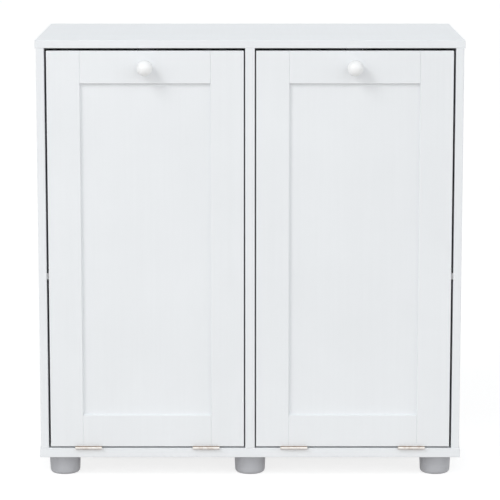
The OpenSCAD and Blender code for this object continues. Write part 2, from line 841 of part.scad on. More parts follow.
module strike_plate(side) {
  color(zinc) difference() {
    translate([side * door_x - strike_w / 2, door_rear_y, strike_z]) cube([strike_w, strike_t, strike_h]);
    strike_screw_bodies(side, hole_play);
  }
}
module strike_screw_bodies(side, play = 0) {
  for (s = [-1, 1])
    translate([side * door_x + s * (strike_w / 2 - 4), door_rear_y + strike_t, strike_z + strike_h / 2])
      rotate([90, 0, 0])
        if (play == 0) countersunk_screw(1.3, 2.4, 12);
        else {
          translate([0, 0, -0.01]) cylinder(r1 = 2.4 + play, r2 = 1.3 + play, h = 1.1);
          cylinder(r = 1.3 + play, h = 12 + play);
        }
}
module left_strike_plate() strike_plate(-1);
module right_strike_plate() strike_plate(1);

// Wire frame: two side bars from the door, a rear bar with round bends, a front cross bar, braces and tabs.
module bag_frame(side) {
  color(gloss_white) translate([side * door_x, 0, 0]) difference() {
    union() {
      for (s = [-1, 1]) {
        bar([s * bar_x, door_rear_y + tab_t / 2, ring_z], [s * bar_x, rear_bar_y - bend_r, ring_z], wire_r);
        bar([s * bar_x, door_rear_y + brace_r, brace_z], [s * bar_x, brace_y, ring_z], brace_r);
        frame_tab(s, upper_tab_z);
        frame_tab(s, lower_tab_z);
        translate([s * (bar_x - bend_r), rear_bar_y - bend_r, ring_z])
          rotate([0, 0, s > 0 ? 0 : 90]) rotate_extrude(angle = 90) translate([bend_r, 0]) circle(wire_r);
      }
      bar([-bar_x, front_bar_y, ring_z], [bar_x, front_bar_y, ring_z], cross_r);
      bar([-bar_x + bend_r, rear_bar_y, ring_z], [bar_x - bend_r, rear_bar_y, ring_z], wire_r);
    }
    translate([-side * door_x, 0, 0]) frame_screw_bodies(side, hole_play);
  }
}
module frame_tab(s, z) {
  translate([s * bar_x - tab_w / 2, door_rear_y, z - tab_h / 2]) cube([tab_w, tab_t, tab_h]);
}
module frame_screw_bodies(side, play = 0) {
  for (s = [-1, 1], z = [upper_tab_z, lower_tab_z])
    translate([side * door_x + s * bar_x, door_rear_y + tab_t, z - tab_screw_drop + wire_r])
      tab_screw(play);
}
module left_bag_frame() bag_frame(-1);
module right_bag_frame() bag_frame(1);

// All the screws in one door: hinge leaves, strike plate, stay and bag frame
module door_screws(side) {
  color(zinc) {
    door_leaf_screw_bodies(side);
    strike_screw_bodies(side);
    stay_screw_bodies(side);
    frame_screw_bodies(side);
  }
}
module left_door_screws() door_screws(-1);
module right_door_screws() door_screws(1);

// The bag's level section, drawn in by a margin.
module bag_section(margin, h) {
  r = max(bag_corner - margin, 4);
  x = bag_half_x - margin;
  linear_extrude(h) hull()
    for (sx = [-1, 1], y = [bag_front_y + margin + r, bag_rear_y - margin - r])
      translate([sx * (x - r), y]) circle(r, $fn = 32);
}
module bag_shape(margin, z0, z1) {
  knee = z0 + (z1 - z0) * bag_knee;
  hull() {
    translate([0, 0, z1 - 1]) bag_section(margin, 1);
    translate([0, 0, knee]) bag_section(margin + bag_taper, 1);
  }
  hull() {
    translate([0, 0, knee]) bag_section(margin + bag_taper, 1);
    translate([0, 0, z0 + bag_floor_in]) bag_section(margin + bag_taper, 1);
    translate([0, 0, z0]) bag_section(margin + bag_taper + bag_floor_in, 1);
  }
}
// A hem flap folded over one bar of the frame, along X, with the bag on its -Y side.
module hem_flap(length) {
  over = 2 * bag_in + bag_t;
  translate([-length / 2, -bag_t, rim_z - bag_t]) cube([length, over + bag_t, bag_t]);
  translate([-length / 2, over - bag_t, rim_z - hem_drop]) cube([length, bag_t, hem_drop]);
}
module bag(side) {
  side_flap = rear_bar_y - bend_r - front_bar_y - 24;
  color(canvas) translate([side * door_x, 0, 0]) {
    difference() {
      bag_shape(0, bag_z, rim_z);
      bag_shape(bag_t, bag_z + bag_t, rim_z + 2);
    }
    translate([0, bag_rear_y, 0]) hem_flap(2 * (bar_x - bend_r));
    translate([0, bag_front_y, 0]) rotate([0, 0, 180]) hem_flap(2 * (bar_x - bend_r));
    for (s = [-1, 1])
      translate([s * bag_half_x, (front_bar_y + rear_bar_y - bend_r) / 2 + 2, 0])
        rotate([0, 0, -s * 90]) hem_flap(side_flap);
  }
}
module left_bag() bag(-1);
module right_bag() bag(1);

top_board();
base_board();
left_side();
right_side();
partition();
left_back_panel();
right_back_panel();
panel_pins();
dowels();
cam_bolts();
cam_locks();
base_screws();
front_left_foot();
front_middle_foot();
front_right_foot();
rear_left_foot();
rear_middle_foot();
rear_right_foot();
foot_screws();
left_catch();
right_catch();
catch_magnets();
catch_screws();
left_outer_base_leaf();
left_inner_base_leaf();
right_inner_base_leaf();
right_outer_base_leaf();
hinge_pins();
base_leaf_screws();
left_stay_stud();
right_stay_stud();
left_door_outer_stile();
left_door_inner_stile();
left_door_top_rail();
left_door_bottom_rail();
left_door_panel();
left_knob();
left_knob_screw();
left_door_leaves();
left_door_screws();
left_strike_plate();
left_stay();
left_bag_frame();
left_bag();
right_door_outer_stile();
right_door_inner_stile();
right_door_top_rail();
right_door_bottom_rail();
right_door_panel();
right_knob();
right_knob_screw();
right_door_leaves();
right_door_screws();
right_strike_plate();
right_stay();
right_bag_frame();
right_bag();
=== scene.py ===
"""Looks of a laundry cabinet with two tilt-out doors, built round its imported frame.

Metres, +Z up, the doors face -Y, and the floor is at z = 0.
"""
import functools
import logging
import math
from dataclasses import dataclass, field
from enum import Enum
from typing import Iterable, Sequence, Union

import bpy
import numpy as np
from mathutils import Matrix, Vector


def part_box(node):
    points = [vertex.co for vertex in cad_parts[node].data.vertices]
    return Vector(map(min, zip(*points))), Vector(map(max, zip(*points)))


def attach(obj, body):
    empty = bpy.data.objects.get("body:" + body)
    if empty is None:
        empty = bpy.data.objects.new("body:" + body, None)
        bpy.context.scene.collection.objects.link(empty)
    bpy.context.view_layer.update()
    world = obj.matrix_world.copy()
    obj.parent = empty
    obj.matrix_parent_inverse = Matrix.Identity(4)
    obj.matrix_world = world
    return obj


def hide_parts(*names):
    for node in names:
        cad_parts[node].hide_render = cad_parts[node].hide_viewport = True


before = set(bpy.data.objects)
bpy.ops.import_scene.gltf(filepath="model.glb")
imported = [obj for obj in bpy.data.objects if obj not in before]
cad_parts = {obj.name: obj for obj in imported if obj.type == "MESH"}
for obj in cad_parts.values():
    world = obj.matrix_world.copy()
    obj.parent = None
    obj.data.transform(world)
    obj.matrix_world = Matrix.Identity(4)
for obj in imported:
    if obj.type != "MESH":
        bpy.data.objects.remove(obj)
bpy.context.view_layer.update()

log = logging.getLogger("laundry_cabinet")
MM = 0.001
Colour = tuple[float, float, float]
Number = Union["Value", float]


class Grain(Enum):
    """The way the fine streaks of a painted board run, as the stretch of each axis."""

    UPRIGHT = (1.0, 1.0, 0.02)
    ACROSS = (0.02, 1.0, 1.0)
    DEPTH = (1.0, 0.02, 1.0)


class Axis(Enum):
    """The direction in which a turned piece points, as the images of its three axes."""

    UP = ((1, 0, 0), (0, 1, 0), (0, 0, 1))
    FRONT = ((1, 0, 0), (0, 0, 1), (0, -1, 0))
    LEFT = ((0, -1, 0), (0, 0, 1), (-1, 0, 0))
    RIGHT = ((0, 1, 0), (0, 0, 1), (1, 0, 0))
    BACK = ((-1, 0, 0), (0, 0, 1), (0, 1, 0))


# ---------------------------------------------------------------- shader nodes


class Value:
    """A number in a shader tree. Arithmetic on it adds Math nodes."""

    def __init__(self, tree: "ShaderTree", socket: bpy.types.NodeSocket) -> None:
        """Wraps a socket of the tree."""
        self.tree = tree
        self.socket = socket

    def math(self, operation: str, *others: Number) -> "Value":
        """Applies a Math operation with this value first."""
        return self.tree.math(operation, self, *others)

    def __add__(self, other: Number) -> "Value":
        """self + other."""
        return self.tree.math("ADD", self, other)

    def __sub__(self, other: Number) -> "Value":
        """self - other."""
        return self.tree.math("SUBTRACT", self, other)

    def __rsub__(self, other: Number) -> "Value":
        """other - self."""
        return self.tree.math("SUBTRACT", other, self)

    def __mul__(self, other: Number) -> "Value":
        """self * other."""
        return self.tree.math("MULTIPLY", self, other)

    def __truediv__(self, other: Number) -> "Value":
        """self / other."""
        return self.tree.math("DIVIDE", self, other)

    __radd__ = __add__
    __rmul__ = __mul__

    def above(self, edge: float, softness: float) -> "Value":
        """A smooth step: 0 below edge - softness, 1 above edge + softness."""
        return self.tree.step(self, edge - softness, edge + softness)


class ShaderTree:
    """The node tree of a material or of the world, with short ways to add nodes."""

    def __init__(self, owner: Union[bpy.types.Material, bpy.types.World]) -> None:
        """Empties the tree of a material or of the world.

        Args:
            owner: What the tree belongs to.
        """
        owner.use_nodes = True
        self.owner = owner
        self.tree = owner.node_tree
        self.tree.nodes.clear()

    def node(
        self,
        kind: str,
        settings: dict[str, object] | None = None,
        inputs: dict[object, object] | None = None,
    ) -> bpy.types.Node:
        """Adds a node.

        Args:
            kind: The node's type.
            settings: Its own properties, set first. "stops" fills a colour ramp.
            inputs: Socket name or index to a number, colour, socket or Value.

        Returns:
            The node.
        """
        made = self.tree.nodes.new(kind)
        for key, value in (settings or {}).items():
            if key == "stops":
                ramp = made.color_ramp.elements
                for place, (at, colour) in enumerate(value):
                    stop = ramp[place] if place < len(ramp) else ramp.new(at)
                    stop.position, stop.color = at, (*colour, 1.0)
            else:
                setattr(made, key, value)
        for key, value in (inputs or {}).items():
            socket = made.inputs[key]
            if isinstance(value, Value):
                value = value.socket
            if isinstance(value, bpy.types.NodeSocket):
                self.tree.links.new(value, socket)
            elif isinstance(value, tuple) and len(socket.default_value) == 4:
                socket.default_value = (*value, 1.0)
            else:
                socket.default_value = value
        return made

    def math(self, operation: str, *terms: Number) -> Value:
        """A Math node's result for the terms."""
        made = self.node("ShaderNodeMath", {"operation": operation}, dict(enumerate(terms)))
        return Value(self, made.outputs[0])

    def step(self, value: Value, low: float, high: float) -> Value:
        """A smooth rise from 0 to 1.

        Args:
            value: What it follows.
            low: Where it leaves 0.
            high: Where it reaches 1.

        Returns:
            The step.
        """
        made = self.node(
            "ShaderNodeMapRange",
            {"interpolation_type": "SMOOTHSTEP"},
            {"Value": value, "From Min": low, "From Max": high},
        )
        return Value(self, made.outputs["Result"])

    def coordinates(self, output: str = "Object") -> bpy.types.NodeSocket:
        """The Object or UV coordinates of the piece."""
        return self.node("ShaderNodeTexCoord").outputs[output]

    def parts(self, vector: bpy.types.NodeSocket) -> tuple[Value, Value, Value]:
        """The three numbers of a vector."""
        made = self.node("ShaderNodeSeparateXYZ", inputs={0: vector})
        return tuple(Value(self, out) for out in made.outputs)

    def stretched(
        self, vector: bpy.types.NodeSocket, scale: Sequence[float], turn: float = 0.0
    ) -> bpy.types.NodeSocket:
        """Stretches a pattern's coordinates.

        Args:
            vector: The coordinates.
            scale: The factor on each axis.
            turn: A turn about Z, in radians.

        Returns:
            The new coordinates.
        """
        made = self.node(
            "ShaderNodeMapping",
            inputs={"Vector": vector, "Scale": tuple(scale), "Rotation": (0.0, 0.0, turn)},
        )
        return made.outputs[0]

    def noise(
        self, vector: bpy.types.NodeSocket, scale: float, detail: float = 2.0, rough: float = 0.5
    ) -> Value:
        """Smooth noise from 0 to 1, about 0.5 on average.

        Args:
            vector: Its coordinates.
            scale: Blotches in a unit of length.
            detail: Finer layers over the first.
            rough: How strong each layer is against the one before.

        Returns:
            The noise.
        """
        made = self.node(
            "ShaderNodeTexNoise",
            inputs={"Vector": vector, "Scale": scale, "Detail": detail, "Roughness": rough},
        )
        return Value(self, made.outputs[0])

    def cells(self, vector: bpy.types.NodeSocket, scale: float) -> Value:
        """Distance to the nearest of many scattered points."""
        made = self.node("ShaderNodeTexVoronoi", inputs={"Vector": vector, "Scale": scale})
        return Value(self, made.outputs["Distance"])

    def mix(self, factor: Number, first: object, second: object) -> bpy.types.NodeSocket:
        """A colour between two.

        Args:
            factor: 0 for the first and 1 for the second.
            first: A colour or a colour's socket.
            second: Another.

        Returns:
            The mixed colour.
        """
        made = self.node(
            "ShaderNodeMix", {"data_type": "RGBA"}, {0: factor, 6: first, 7: second}
        )
        return made.outputs[2]

    def bump(self, height: Value, depth: float) -> bpy.types.NodeSocket:
        """A normal from a height.

        Args:
            height: From 0 to 1.
            depth: How far 1 stands proud, in metres.

        Returns:
            The normal.
        """
        made = self.node(
            "ShaderNodeBump", inputs={"Height": height, "Distance": depth, "Strength": 1.0}
        )
        return made.outputs[0]

    def finish(self, **sockets: object) -> bpy.types.Material:
        """Ends the tree in a Principled surface.

        Args:
            sockets: Its inputs, with underscores for spaces.

        Returns:
            The material.
        """
        named = {key.replace("_", " "): value for key, value in sockets.items()}
        surface = self.node("ShaderNodeBsdfPrincipled", inputs=named)
        self.node("ShaderNodeOutputMaterial", inputs={"Surface": surface.outputs[0]})
        return self.owner


# --------------------------------------------------------------------- finishes


def shade(colour: Colour, factor: float) -> Colour:
    """The colour made darker or lighter by a factor."""
    return tuple(min(1.0, part * factor) for part in colour)


@dataclass(frozen=True)
class Finish:
    """A surface finish. Each kind says how to draw itself."""

    name: str
    colour: Colour

    def draw(self, tree: ShaderTree) -> bpy.types.Material:
        """Draws the finish in a tree.

        Args:
            tree: An empty tree.

        Returns:
            The tree's material.
        """
        raise NotImplementedError

    @functools.cache
    def material(self) -> bpy.types.Material:
        """The finish's material, made once."""
        return self.draw(ShaderTree(bpy.data.materials.new(self.name)))


@dataclass(frozen=True)
class SatinPaint(Finish):
    """White satin paint on smooth board, with faint streaks along the board."""

    grain: Grain = Grain.UPRIGHT
    streak_pitch: float = 5.0 * MM
    contrast: float = 0.055
    peel: float = 0.05 * MM

    def draw(self, tree: ShaderTree) -> bpy.types.Material:
        """Streaks and cloudy mottling tint the colour, and roller texture lifts the paint.

        Args:
            tree: An empty tree.

        Returns:
            The tree's material.
        """
        place = tree.coordinates()
        pitch = 1.0 / self.streak_pitch
        along = tree.stretched(place, [pitch * part for part in self.grain.value])
        streak = tree.noise(along, 1.0, 3.0, 0.6)
        cloud = tree.noise(place, 5.0, 4.0, 0.55)
        tone = (streak - 0.5) * 0.5 + (cloud - 0.5) * 1.3 + 0.5
        peel = tree.noise(place, 650.0, 2.0)
        lift = peel * 0.6 + streak * 0.4
        return tree.finish(
            Base_Color=tree.mix(tone, shade(self.colour, 1.0 - self.contrast), self.colour),
            Roughness=0.44 + cloud * 0.12 + peel * 0.06,
            Specular_IOR_Level=0.3,
            Normal=tree.bump(lift, self.peel),
        )


@dataclass(frozen=True)
class Lacquer(Finish):
    """High gloss lacquer on a turned knob."""

    def draw(self, tree: ShaderTree) -> bpy.types.Material:
        """A clear coat over paint that pools slightly, so its tone and gloss vary a little.

        Args:
            tree: An empty tree.

        Returns:
            The tree's material.
        """
        place = tree.coordinates()
        pool = tree.noise(place, 60.0, 3.0)
        ripple = tree.noise(place, 260.0, 2.0)
        return tree.finish(
            Base_Color=tree.mix(pool, shade(self.colour, 0.975), self.colour),
            Roughness=0.24 + pool * 0.1,
            Coat_Weight=0.35 + pool * 0.2,
            Coat_Roughness=0.08,
            Normal=tree.bump(ripple, 0.02 * MM),
        )


@dataclass(frozen=True)
class Plating(Finish):
    """Plated steel with rolled lines, spangle and tarnish, and painted shade about a hinge pin
    when its height is given.
    """

    tint: Colour = (0.6, 0.55, 0.45)
    tarnish: float = 0.35
    gloss: float = 0.26
    pin_z: float = 0.0

    def draw(self, tree: ShaderTree) -> bpy.types.Material:
        """Rolled lines along X, patches of tarnish, and fine scratches in the bump.

        With a pin's height given, painted shade in the tarnish colour also lies where a point is
        further than about 2 mm above or below the pin, where a knuckle turns away into its gap.

        Args:
            tree: An empty tree.

        Returns:
            The tree's material.
        """
        place = tree.coordinates()
        line = tree.noise(tree.stretched(place, (60.0, 1800.0, 1800.0)), 1.0, 2.0)
        patch = tree.noise(place, 140.0, 4.0, 0.6)
        tarnish_and_shade = patch.above(0.56, 0.16) * self.tarnish + line * 0.12
        # painted shade: above and below the pin, where the knuckles turn away into their gaps,
        # the plate darkens to the tarnish colour
        if self.pin_z:
            off = (tree.parts(place)[2] - self.pin_z).math("ABSOLUTE")
            gap = off.above(2.0 * MM, 0.7 * MM) * (0.6 + patch * 0.5)
            tarnish_and_shade = (tarnish_and_shade + gap).math("MINIMUM", 1.0)
        return tree.finish(
            Base_Color=tree.mix(tarnish_and_shade, self.colour, self.tint),
            Metallic=1.0 - tarnish_and_shade * 0.15,
            Roughness=self.gloss + patch * 0.16 + line * 0.08,
            Normal=tree.bump(line, 0.02 * MM),
        )


@dataclass(frozen=True)
class Moulding(Finish):
    """Moulded plastic with a fine eroded texture."""

    texture: float = 0.06 * MM
    gloss: float = 0.5

    def draw(self, tree: ShaderTree) -> bpy.types.Material:
        """Fine pits from the mould, flow marks in the tone, and a few paler scuffs.

        Args:
            tree: An empty tree.

        Returns:
            The tree's material.
        """
        place = tree.coordinates()
        pits = tree.cells(place, 1100.0)
        flow = tree.noise(place, 28.0, 3.0, 0.6)
        scuff = tree.noise(tree.stretched(place, (40.0, 40.0, 400.0)), 1.0, 4.0, 0.7)
        worn = scuff.above(0.68, 0.06) * 0.5
        body = tree.mix(flow, shade(self.colour, 0.93), shade(self.colour, 1.05))
        return tree.finish(
            Base_Color=tree.mix(worn, body, shade(self.colour, 1.25)),
            Roughness=self.gloss + flow * 0.14 - worn * 0.2,
            Normal=tree.bump(pits, self.texture),
        )


@dataclass(frozen=True)
class PowderCoat(Finish):
    """Powder coating on wire, with orange peel."""

    def draw(self, tree: ShaderTree) -> bpy.types.Material:
        """Orange peel in the bump, and thin places that are a little darker.

        Args:
            tree: An empty tree.

        Returns:
            The tree's material.
        """
        place = tree.coordinates()
        peel = tree.noise(place, 900.0, 2.0)
        thin = tree.noise(place, 45.0, 3.0)
        return tree.finish(
            Base_Color=tree.mix(thin, shade(self.colour, 0.93), self.colour),
            Roughness=0.3 + peel * 0.15,
            Coat_Weight=0.2 + thin * 0.1,
            Coat_Roughness=0.2,
            Normal=tree.bump(peel, 0.05 * MM),
        )


@dataclass(frozen=True)
class Hardboard(Finish):
    """Fibreboard with a white film on the face towards the bays."""

    film: Colour = (0.83, 0.84, 0.84)
    middle_y: float = 0.2135

    def draw(self, tree: ShaderTree) -> bpy.types.Material:
        """Short matted fibres and dark flecks outside, a smooth film inside.

        Args:
            tree: An empty tree.

        Returns:
            The tree's material.
        """
        place = tree.coordinates()
        outside = tree.parts(place)[1].above(self.middle_y, 0.1 * MM)
        fibre = tree.noise(tree.stretched(place, (500.0, 500.0, 90.0), 0.4), 1.0, 4.0, 0.7)
        cross = tree.noise(tree.stretched(place, (90.0, 500.0, 500.0)), 1.0, 4.0, 0.7)
        cloud = tree.noise(place, 4.0, 4.0, 0.6)
        fleck = tree.cells(place, 160.0)
        tone = fibre * 0.5 + cross * 0.3 + cloud * 0.3
        raw = tree.mix(tone, shade(self.colour, 0.72), shade(self.colour, 1.22))
        raw = tree.mix((0.16 - fleck).above(0.03, 0.03) * 0.5, raw, shade(self.colour, 0.5))
        face = tree.mix(cloud, shade(self.film, 0.95), self.film)
        return tree.finish(
            Base_Color=tree.mix(outside, face, raw),
            Roughness=0.42 + outside * 0.3 + fibre * 0.1,
            Normal=tree.bump(outside * tone + cloud * 0.2, 0.18 * MM),
        )


@dataclass(frozen=True)
class Beech(Finish):
    """Raw beech with short ray flecks."""

    def draw(self, tree: ShaderTree) -> bpy.types.Material:
        """Long grain along Z, and short darker flecks across it.

        Args:
            tree: An empty tree.

        Returns:
            The tree's material.
        """
        place = tree.coordinates()
        grain = tree.noise(tree.stretched(place, (700.0, 700.0, 25.0)), 1.0, 4.0, 0.6)
        ray = tree.noise(tree.stretched(place, (1500.0, 1500.0, 220.0)), 1.0, 2.0)
        tone = grain * 0.8 + ray * 0.3
        fleck = ray.above(0.62, 0.05) * 0.5
        wood = tree.mix(tone, shade(self.colour, 0.78), shade(self.colour, 1.15))
        return tree.finish(
            Base_Color=tree.mix(fleck, wood, shade(self.colour, 0.55)),
            Roughness=0.55 + grain * 0.2,
            Normal=tree.bump(tone, 0.12 * MM),
        )


@dataclass(frozen=True)
class CatchMagnet(Finish):
    """A ferrite block between two plated pole plates."""

    steel: Colour = (0.10, 0.10, 0.105)
    middle_z: float = 0.811
    half_gap: float = 2.75 * MM

    def draw(self, tree: ShaderTree) -> bpy.types.Material:
        """Steel where a point is further from the middle than the ferrite reaches.

        Args:
            tree: An empty tree.

        Returns:
            The tree's material.
        """
        place = tree.coordinates()
        height = tree.parts(place)[2]
        plate = (height - self.middle_z).math("ABSOLUTE").above(self.half_gap, 0.05 * MM)
        speck = tree.noise(place, 1300.0, 3.0, 0.7)
        scratch = tree.noise(tree.stretched(place, (90.0, 2000.0, 2000.0)), 1.0, 2.0)
        block = tree.mix(speck, shade(self.colour, 0.7), shade(self.colour, 1.4))
        metal = tree.mix(scratch, shade(self.steel, 0.8), self.steel)
        return tree.finish(
            Base_Color=tree.mix(plate, block, metal),
            Metallic=plate,
            Roughness=0.7 - plate * 0.2 + speck * 0.1,
            Normal=tree.bump(speck + scratch, 0.03 * MM),
        )


@dataclass(frozen=True)
class Canvas(Finish):
    """Plain-woven cotton canvas. Its UV map is in metres of cloth."""

    pitch: float = 1.1 * MM
    depth: float = 0.35 * MM
    twill: bool = False

    def draw(self, tree: ShaderTree) -> bpy.types.Material:
        """Warp and weft pass over and under each other, and the colour is painted darker in their
        hollows as painted shade.

        With a and b the two thread counts, s = sin(pi a) sin(pi b) is positive where the
        warp is on top. The height is the greater of |sin(pi a)| (0.6 + 0.4 s) and
        |sin(pi b)| (0.6 - 0.4 s). Twill shifts a by half of b, so its ribs run askew.

        Args:
            tree: An empty tree.

        Returns:
            The tree's material.
        """
        cloth = tree.coordinates("UV")
        across, along, _ = tree.parts(cloth)
        a, b = across / self.pitch, along / self.pitch
        if self.twill:
            a = a + b * 0.5
        wave_a, wave_b = (a * math.pi).math("SINE"), (b * math.pi).math("SINE")
        over = wave_a * wave_b
        warp = wave_a.math("ABSOLUTE") * (0.6 + over * 0.4)
        weft = wave_b.math("ABSOLUTE") * (0.6 - over * 0.4)
        height = warp.math("MAXIMUM", weft)
        slub = tree.noise(tree.stretched(cloth, (900.0, 25.0, 1.0)), 1.0, 2.0)
        cross_slub = tree.noise(tree.stretched(cloth, (25.0, 900.0, 1.0)), 1.0, 2.0)
        place = tree.coordinates()
        crumple = tree.noise(place, 30.0, 4.0, 0.6)
        fuzz = tree.noise(place, 2200.0, 2.0)
        thread = slub * 0.5 + cross_slub * 0.5
        # painted shade: the tone follows the weave's height and the crumple bump, so their low
        # places are darker; slubs, fuzz and flecks are the cloth's own tone
        tone = height * 0.45 + thread * 0.4 + crumple * 0.25 + fuzz * 0.1 - 0.1
        fleck = tree.noise(tree.stretched(cloth, (500.0, 60.0, 1.0)), 1.0, 3.0, 0.7)
        base = tree.mix(tone, shade(self.colour, 0.68), shade(self.colour, 1.08))
        return tree.finish(
            Base_Color=tree.mix(
                fleck.above(0.70, 0.04) * 0.35, base, shade(self.colour, 0.55)
            ),
            Roughness=0.82 + crumple * 0.12,
            Sheen_Weight=0.15,
            Normal=tree.bump(height * 0.6 + thread * 0.25 + crumple * 1.5, self.depth),
        )


@dataclass(frozen=True)
class Thread(Finish):
    """Twisted polyester sewing thread."""

    def draw(self, tree: ShaderTree) -> bpy.types.Material:
        """Fine twist lines set askew by the sum of the three coordinates, with painted shade in
        their grooves.

        Args:
            tree: An empty tree.

        Returns:
            The tree's material.
        """
        place = tree.coordinates()
        x, y, z = tree.parts(place)
        twist = ((x + y + z) * (2 * math.pi / (0.5 * MM))).math("SINE") * 0.5 + 0.5
        # painted shade: the colour follows the twist bump, darker where it is low
        tone = twist * 0.7 + tree.noise(place, 500.0) * 0.3
        return tree.finish(
            Base_Color=tree.mix(tone, shade(self.colour, 0.75), self.colour),
            Roughness=0.6 + tone * 0.1,
            Normal=tree.bump(twist, 0.08 * MM),
        )


WHITE = (0.86, 0.876, 0.893)
CARCASS_PAINT = SatinPaint("satin paint, carcass", WHITE)
TOP_PAINT = SatinPaint("satin paint, top", WHITE, Grain.DEPTH)
BASE_PAINT = SatinPaint("satin paint, base", WHITE, Grain.ACROSS)
DOOR_PAINT = SatinPaint("satin paint, doors", WHITE)
BACK_BOARD = Hardboard("faced hardboard", (0.42, 0.29, 0.18))
KNOB_LACQUER = Lacquer("gloss lacquer", (0.93, 0.93, 0.93))
STUD_NICKEL = Plating("nickel plate", (0.66, 0.62, 0.56), (0.42, 0.30, 0.20), 0.6, 0.3)
# the pin height puts painted shade on the knuckles above and below the pin
HINGE_NICKEL = Plating(
    "nickel plate, hinges", (0.71, 0.695, 0.67), (0.30, 0.20, 0.13), 0.35, 0.24, pin_z=57.5 * MM
)
ZINC = Plating("zinc plate", (0.66, 0.67, 0.69), (0.55, 0.56, 0.50), 0.5, 0.28)
DULL_ZINC = Plating("dull zinc plate", (0.42, 0.42, 0.43), (0.34, 0.34, 0.33), 0.5, 0.4)
FOOT_PLASTIC = Moulding("grey plastic", (0.475, 0.48, 0.505))
CATCH_PLASTIC = Moulding("black plastic", (0.05, 0.05, 0.055), 0.04 * MM, 0.4)
BLACK_STEEL = PowderCoat("blackened steel", (0.07, 0.07, 0.075))
MAGNET = CatchMagnet("ferrite and steel", (0.10, 0.10, 0.11))
WIRE_COATING = PowderCoat("powder coat", (0.88, 0.88, 0.87))
BEECH = Beech("raw beech", (0.62, 0.43, 0.26))
BAG_CANVAS = Canvas("canvas", (0.78, 0.74, 0.66))
WEBBING = Canvas("webbing", (0.72, 0.67, 0.57), 1.6 * MM, 0.6 * MM, True)
THREAD = Thread("thread", (0.86, 0.84, 0.78))


# ----------------------------------------------------------------------- meshes


@dataclass
class Shell:
    """Points, faces and cloth coordinates of a surface, as whole arrays.

    Attributes:
        points: One row of x, y, z for each point.
        faces: Index arrays, each of triangles or of quads.
        cloth: For each of them, the corners' cloth coordinates.
    """

    points: np.ndarray
    faces: list[np.ndarray]
    cloth: list[np.ndarray]

    def turned_out(self) -> "Shell":
        """Turns the faces of a closed shell outwards.

        The volume is the sum of a . (b x c) over its triangles, and is negative inside out.

        Returns:
            The same shell.
        """
        volume = 0.0
        for face in self.faces:
            for k in range(1, face.shape[1] - 1):
                a, b, c = (self.points[face[:, j]] for j in (0, k, k + 1))
                volume += float((a * np.cross(b, c)).sum())
        if volume < 0:
            self.faces = [face[:, ::-1] for face in self.faces]
            self.cloth = [uv[:, ::-1] for uv in self.cloth]
        return self

    def looped(self, count: int) -> "Shell":
        """Welds a last row that repeats the first to it, and turns the faces outwards.

        Args:
            count: Points before the repeated row.

        Returns:
            The same shell.
        """
        self.faces = [np.where(face >= count, face - count, face) for face in self.faces]
        self.points = self.points[:count]
        return self.turned_out()


def unit(rows: np.ndarray) -> np.ndarray:
    """The rows scaled to length 1."""
    return rows / np.linalg.norm(rows, axis=1, keepdims=True)


def join(shells: Iterable[Shell]) -> Shell:
    """Puts shells together, their indices shifted by the points before them.

    Args:
        shells: The shells.

    Returns:
        One shell of all of them.
    """
    points, faces, cloth, base = [], [], [], 0
    for shell in shells:
        points.append(shell.points)
        faces += [face + base for face in shell.faces]
        cloth += shell.cloth
        base += len(shell.points)
    return Shell(np.concatenate(points), faces, cloth)


def grid(
    points: np.ndarray,
    around: bool = False,
    first_pole: bool = False,
    last_pole: bool = False,
    cloth: np.ndarray | None = None,
) -> Shell:
    """Quads over a grid of points, row by row.

    Args:
        points: Rows by columns by 3.
        around: The last column joins the first.
        first_pole: The first row closes on its middle point.
        last_pole: The last row closes on its middle point.
        cloth: Cloth coordinates, rows by columns (one more if around) by 2.

    Returns:
        The shell.
    """
    rows, columns = points.shape[:2]
    spans = columns if around else columns - 1
    if cloth is None:
        cloth = np.zeros((rows, spans + 1, 2))
    i, j = np.meshgrid(np.arange(rows - 1), np.arange(spans), indexing="ij")
    i, j = i.ravel(), j.ravel()
    corners = [(i, j), (i + 1, j), (i + 1, j + 1), (i, j + 1)]
    faces = [np.stack([r * columns + c % columns for r, c in corners], axis=1)]
    coordinates = [np.stack([cloth[r, c] for r, c in corners], axis=1)]
    flat = [points.reshape(-1, 3)]
    turn = np.arange(spans)
    count = rows * columns
    for wanted, row in ((first_pole, 0), (last_pole, rows - 1)):
        if not wanted:
            continue
        flat.append(points[row].mean(axis=0, keepdims=True))
        ring = np.stack([row * columns + turn, row * columns + (turn + 1) % columns], axis=1)
        ring = ring if row else ring[:, ::-1]
        faces.append(np.column_stack([ring[:, ::-1], np.full(spans, count)]))
        rim = np.stack([cloth[row, turn], cloth[row, turn + 1]], axis=1)
        rim = rim if row else rim[:, ::-1]
        middle = np.repeat(cloth[row].mean(axis=0)[None, None], spans, axis=0)
        coordinates.append(np.concatenate([rim[:, ::-1], middle], axis=1))
        count += 1
    return Shell(np.concatenate(flat), faces, coordinates)


